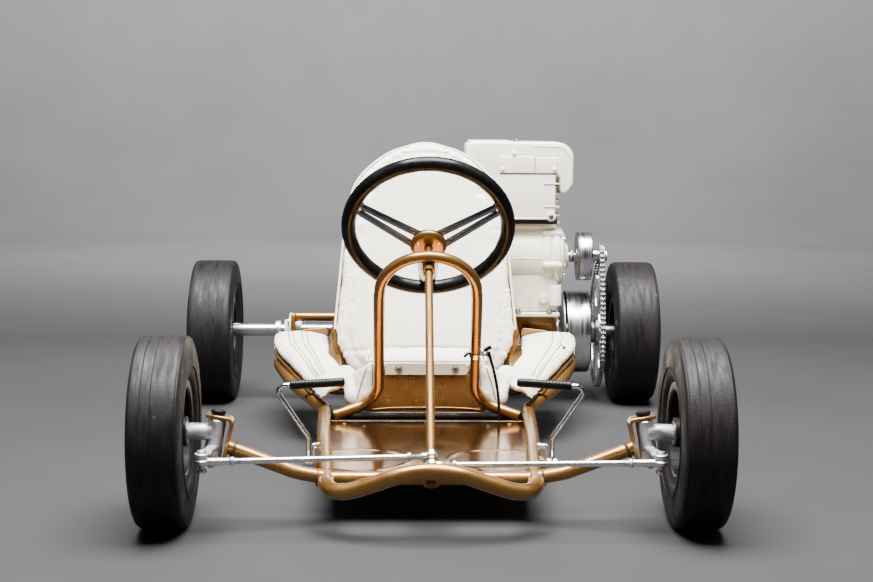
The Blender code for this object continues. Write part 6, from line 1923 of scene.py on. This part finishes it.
def pedals():
    for name, side in (("throttle", -1), ("brake", 1)):
        body = name + "_pedal"
        s = Shape()
        path = bend([mirror_x(p, side) for p in ((0.1755, 0.060, 0.0800), (0.1755, 0.058, 0.115),
                                                 (0.2260, 0.053, 0.1905), (0.1290, 0.053, 0.1964))], 0.010,
                    10)
        s.tube(path, PEDAL_ROD_R, CHROME, 24)
        pivot = mirror_x((0.1755, 0.060, 0.078), side)
        s.lathe([(0.0041, -0.0075), (0.0068, -0.0075), (0.0075, -0.0068), (0.0075, 0.0053),
                 (0.0068, 0.0060),
                 (0.0041, 0.0060)], placed(pivot, X * side), CHROME, 36, True)
        s.tube([pivot + Vector((0, -0.0070, 0.004)), pivot + Vector((0, -0.0100, 0.012)),
                pivot + Vector((0, -0.0040, 0.018))],
               0.0014, ZINC, 8)
        s.made(name + "_pedal_rod", body, "chrome", name + "_pedal")
        s = Shape()
        start, end = mirror_x((0.2015, 0.053, 0.1920), side), mirror_x((0.1270, 0.053, 0.1965), side)
        way = (end - start).normalized()
        profile = [(0.0040, -0.0002), (0.0060, 0), (0.0066, 0.0010), (0.0066, 0.0030)]
        for k in range(14):
            z = 0.0060 + k * 0.0048
            profile += [(0.0066, z), (0.0063, z + 0.0008), (0.0063, z + 0.0014), (0.0066, z + 0.0022)]
        profile += [(0.0066, 0.0735), (0.0060, 0.0765), (0.0044, 0.0783), (0.0022, 0.0787),
                    (0.0001, 0.0788)]
        s.lathe(profile, placed(start, way), GRIP_BLACK, 32)
        s.made(name + "_sleeve", body, "black_plastic", name + "_grip", angle=50)
        # Return spring from the rail to the pedal's foot, held by the frame
        s = Shape()
        top, low = mirror_x((0.1700, 0.0860, 0.0960), side), mirror_x((0.1660, 0.1700, 0.0800), side)
        coil = []
        frame_at = placed(top, low - top)
        span = (low - top).length
        for i in range(241):
            t = i / 240
            a = 2 * math.pi * SPRING_TURNS * t
            height = span * (0.08 + 0.84 * t)
            coil.append(frame_at @ Vector((SPRING_R * math.cos(a), SPRING_R * math.sin(a), height)))
        s.tube(coil, WIRE_R, ZINC, 6)
        for coil_end, middle, hook_end in ((0.08, 0.04, 0), (0.92, 0.96, 1)):
            s.tube([frame_at @ Vector((SPRING_R, 0, span * coil_end)),
                    frame_at @ Vector((0, 0, span * middle)),
                    frame_at @ Vector((0, 0, span * hook_end))], WIRE_R, ZINC, 6)
        s.rod(low - Z * 0.0090, low + Z * 0.0035, 0.0018, ZINC, 12)
        s.rod(top - Z * 0.0240, top + Z * 0.0035, 0.0018, ZINC, 12)
        s.made(name + "_spring", "frame", "steel")


# ---------------------------------------------------------------- stage, light and camera
def stage():
    scene = bpy.context.scene
    floor = Shape()
    m = Nodes("studio_floor", (0.036, 0.0355, 0.0372, 1), 0.62, 0.0, Specular_IOR_Level=0.12)
    m.tint(m.noise(1.5, 5, 0.6), 0.35, 0.75, (0.030, 0.0297, 0.0312, 1))
    m.relief(m.noise(60, 4), 0.02, 0.001)
    profile = [(0.02, 0), (1.0, 0), (3.0, 0), (4.6, 0)]
    profile += [(4.6 + 1.6 * math.sin(math.radians(a)), 1.6 - 1.6 * math.cos(math.radians(a)))
                for a in range(6, 91, 6)]
    profile += [(6.2, 4.5)]
    floor.lathe(profile, Matrix.Identity(4), m.material, 128)
    mesh = bpy.data.meshes.new("studio_floor")
    bmesh.ops.recalc_face_normals(floor.bm, faces=floor.bm.faces)
    floor.bm.to_mesh(mesh)
    floor.bm.free()
    mesh.materials.append(m.material)
    mesh.shade_smooth()
    obj = bpy.data.objects.new("studio_floor", mesh)
    scene.collection.objects.link(obj)

    world = bpy.data.worlds.new("studio")
    scene.world = world
    world.use_nodes = True
    world.node_tree.nodes["Background"].inputs["Color"].default_value = (0.80, 0.82, 0.86, 1)
    world.node_tree.nodes["Background"].inputs["Strength"].default_value = 0.05

    for name, place, aim, size, power in (
        ("top_softbox", (0.0, -0.55, 2.9), (0, -0.05, 0), (2.4, 2.0), 800),
        ("left_softbox", (-2.9, -1.2, 1.9), (0, 0, 0.2), (1.2, 2.4), 7),
        ("right_softbox", (2.9, -0.6, 1.9), (0, 0, 0.2), (1.0, 2.4), 7),
        ("backdrop_light", (0, 3.2, 2.6), (0, 5.6, 0.9), (3.0, 1.0), 1400),
    ):
        data = bpy.data.lights.new(name, "AREA")
        data.shape = "RECTANGLE"
        data.size, data.size_y = size
        data.energy = power
        light = bpy.data.objects.new(name, data)
        light.location = place
        light.rotation_euler = (Vector(aim) - Vector(place)).to_track_quat("-Z", "Y").to_euler()
        scene.collection.objects.link(light)


EYE = Vector((-0.0361, -2.2458, 0.5867))
YAW, PITCH_DOWN, ROLL = 0.0188, 0.1120, 0.0063
LENS_MM, SENSOR_MM = 67.08, 36


def camera():
    """The photograph's viewpoint: 2.25 m in front of the front axle and 0.59 m up."""
    scene = bpy.context.scene
    data = bpy.data.cameras.new("camera")
    data.lens = LENS_MM
    data.sensor_width = SENSOR_MM
    obj = bpy.data.objects.new("camera", data)
    scene.collection.objects.link(obj)
    level = math.cos(PITCH_DOWN)
    ahead = Vector((math.sin(YAW) * level, math.cos(YAW) * level, -math.sin(PITCH_DOWN)))
    right = Vector((math.cos(YAW), -math.sin(YAW), 0))
    up = right.cross(ahead)
    r2 = right * math.cos(ROLL) + up * math.sin(ROLL)
    u2 = -right * math.sin(ROLL) + up * math.cos(ROLL)
    at = SHIFT + EYE
    obj.matrix_world = Matrix(((r2.x, u2.x, -ahead.x, at.x), (r2.y, u2.y, -ahead.y, at.y),
                               (r2.z, u2.z, -ahead.z, at.z), (0, 0, 0, 1)))
    scene.camera = obj


camera()
tube_frame()
hoop()
column()
tie_rods()
spindles()
wheels()
rear_end()
drive()
floor_pan()
seat()
engine()
pedals()
stage()
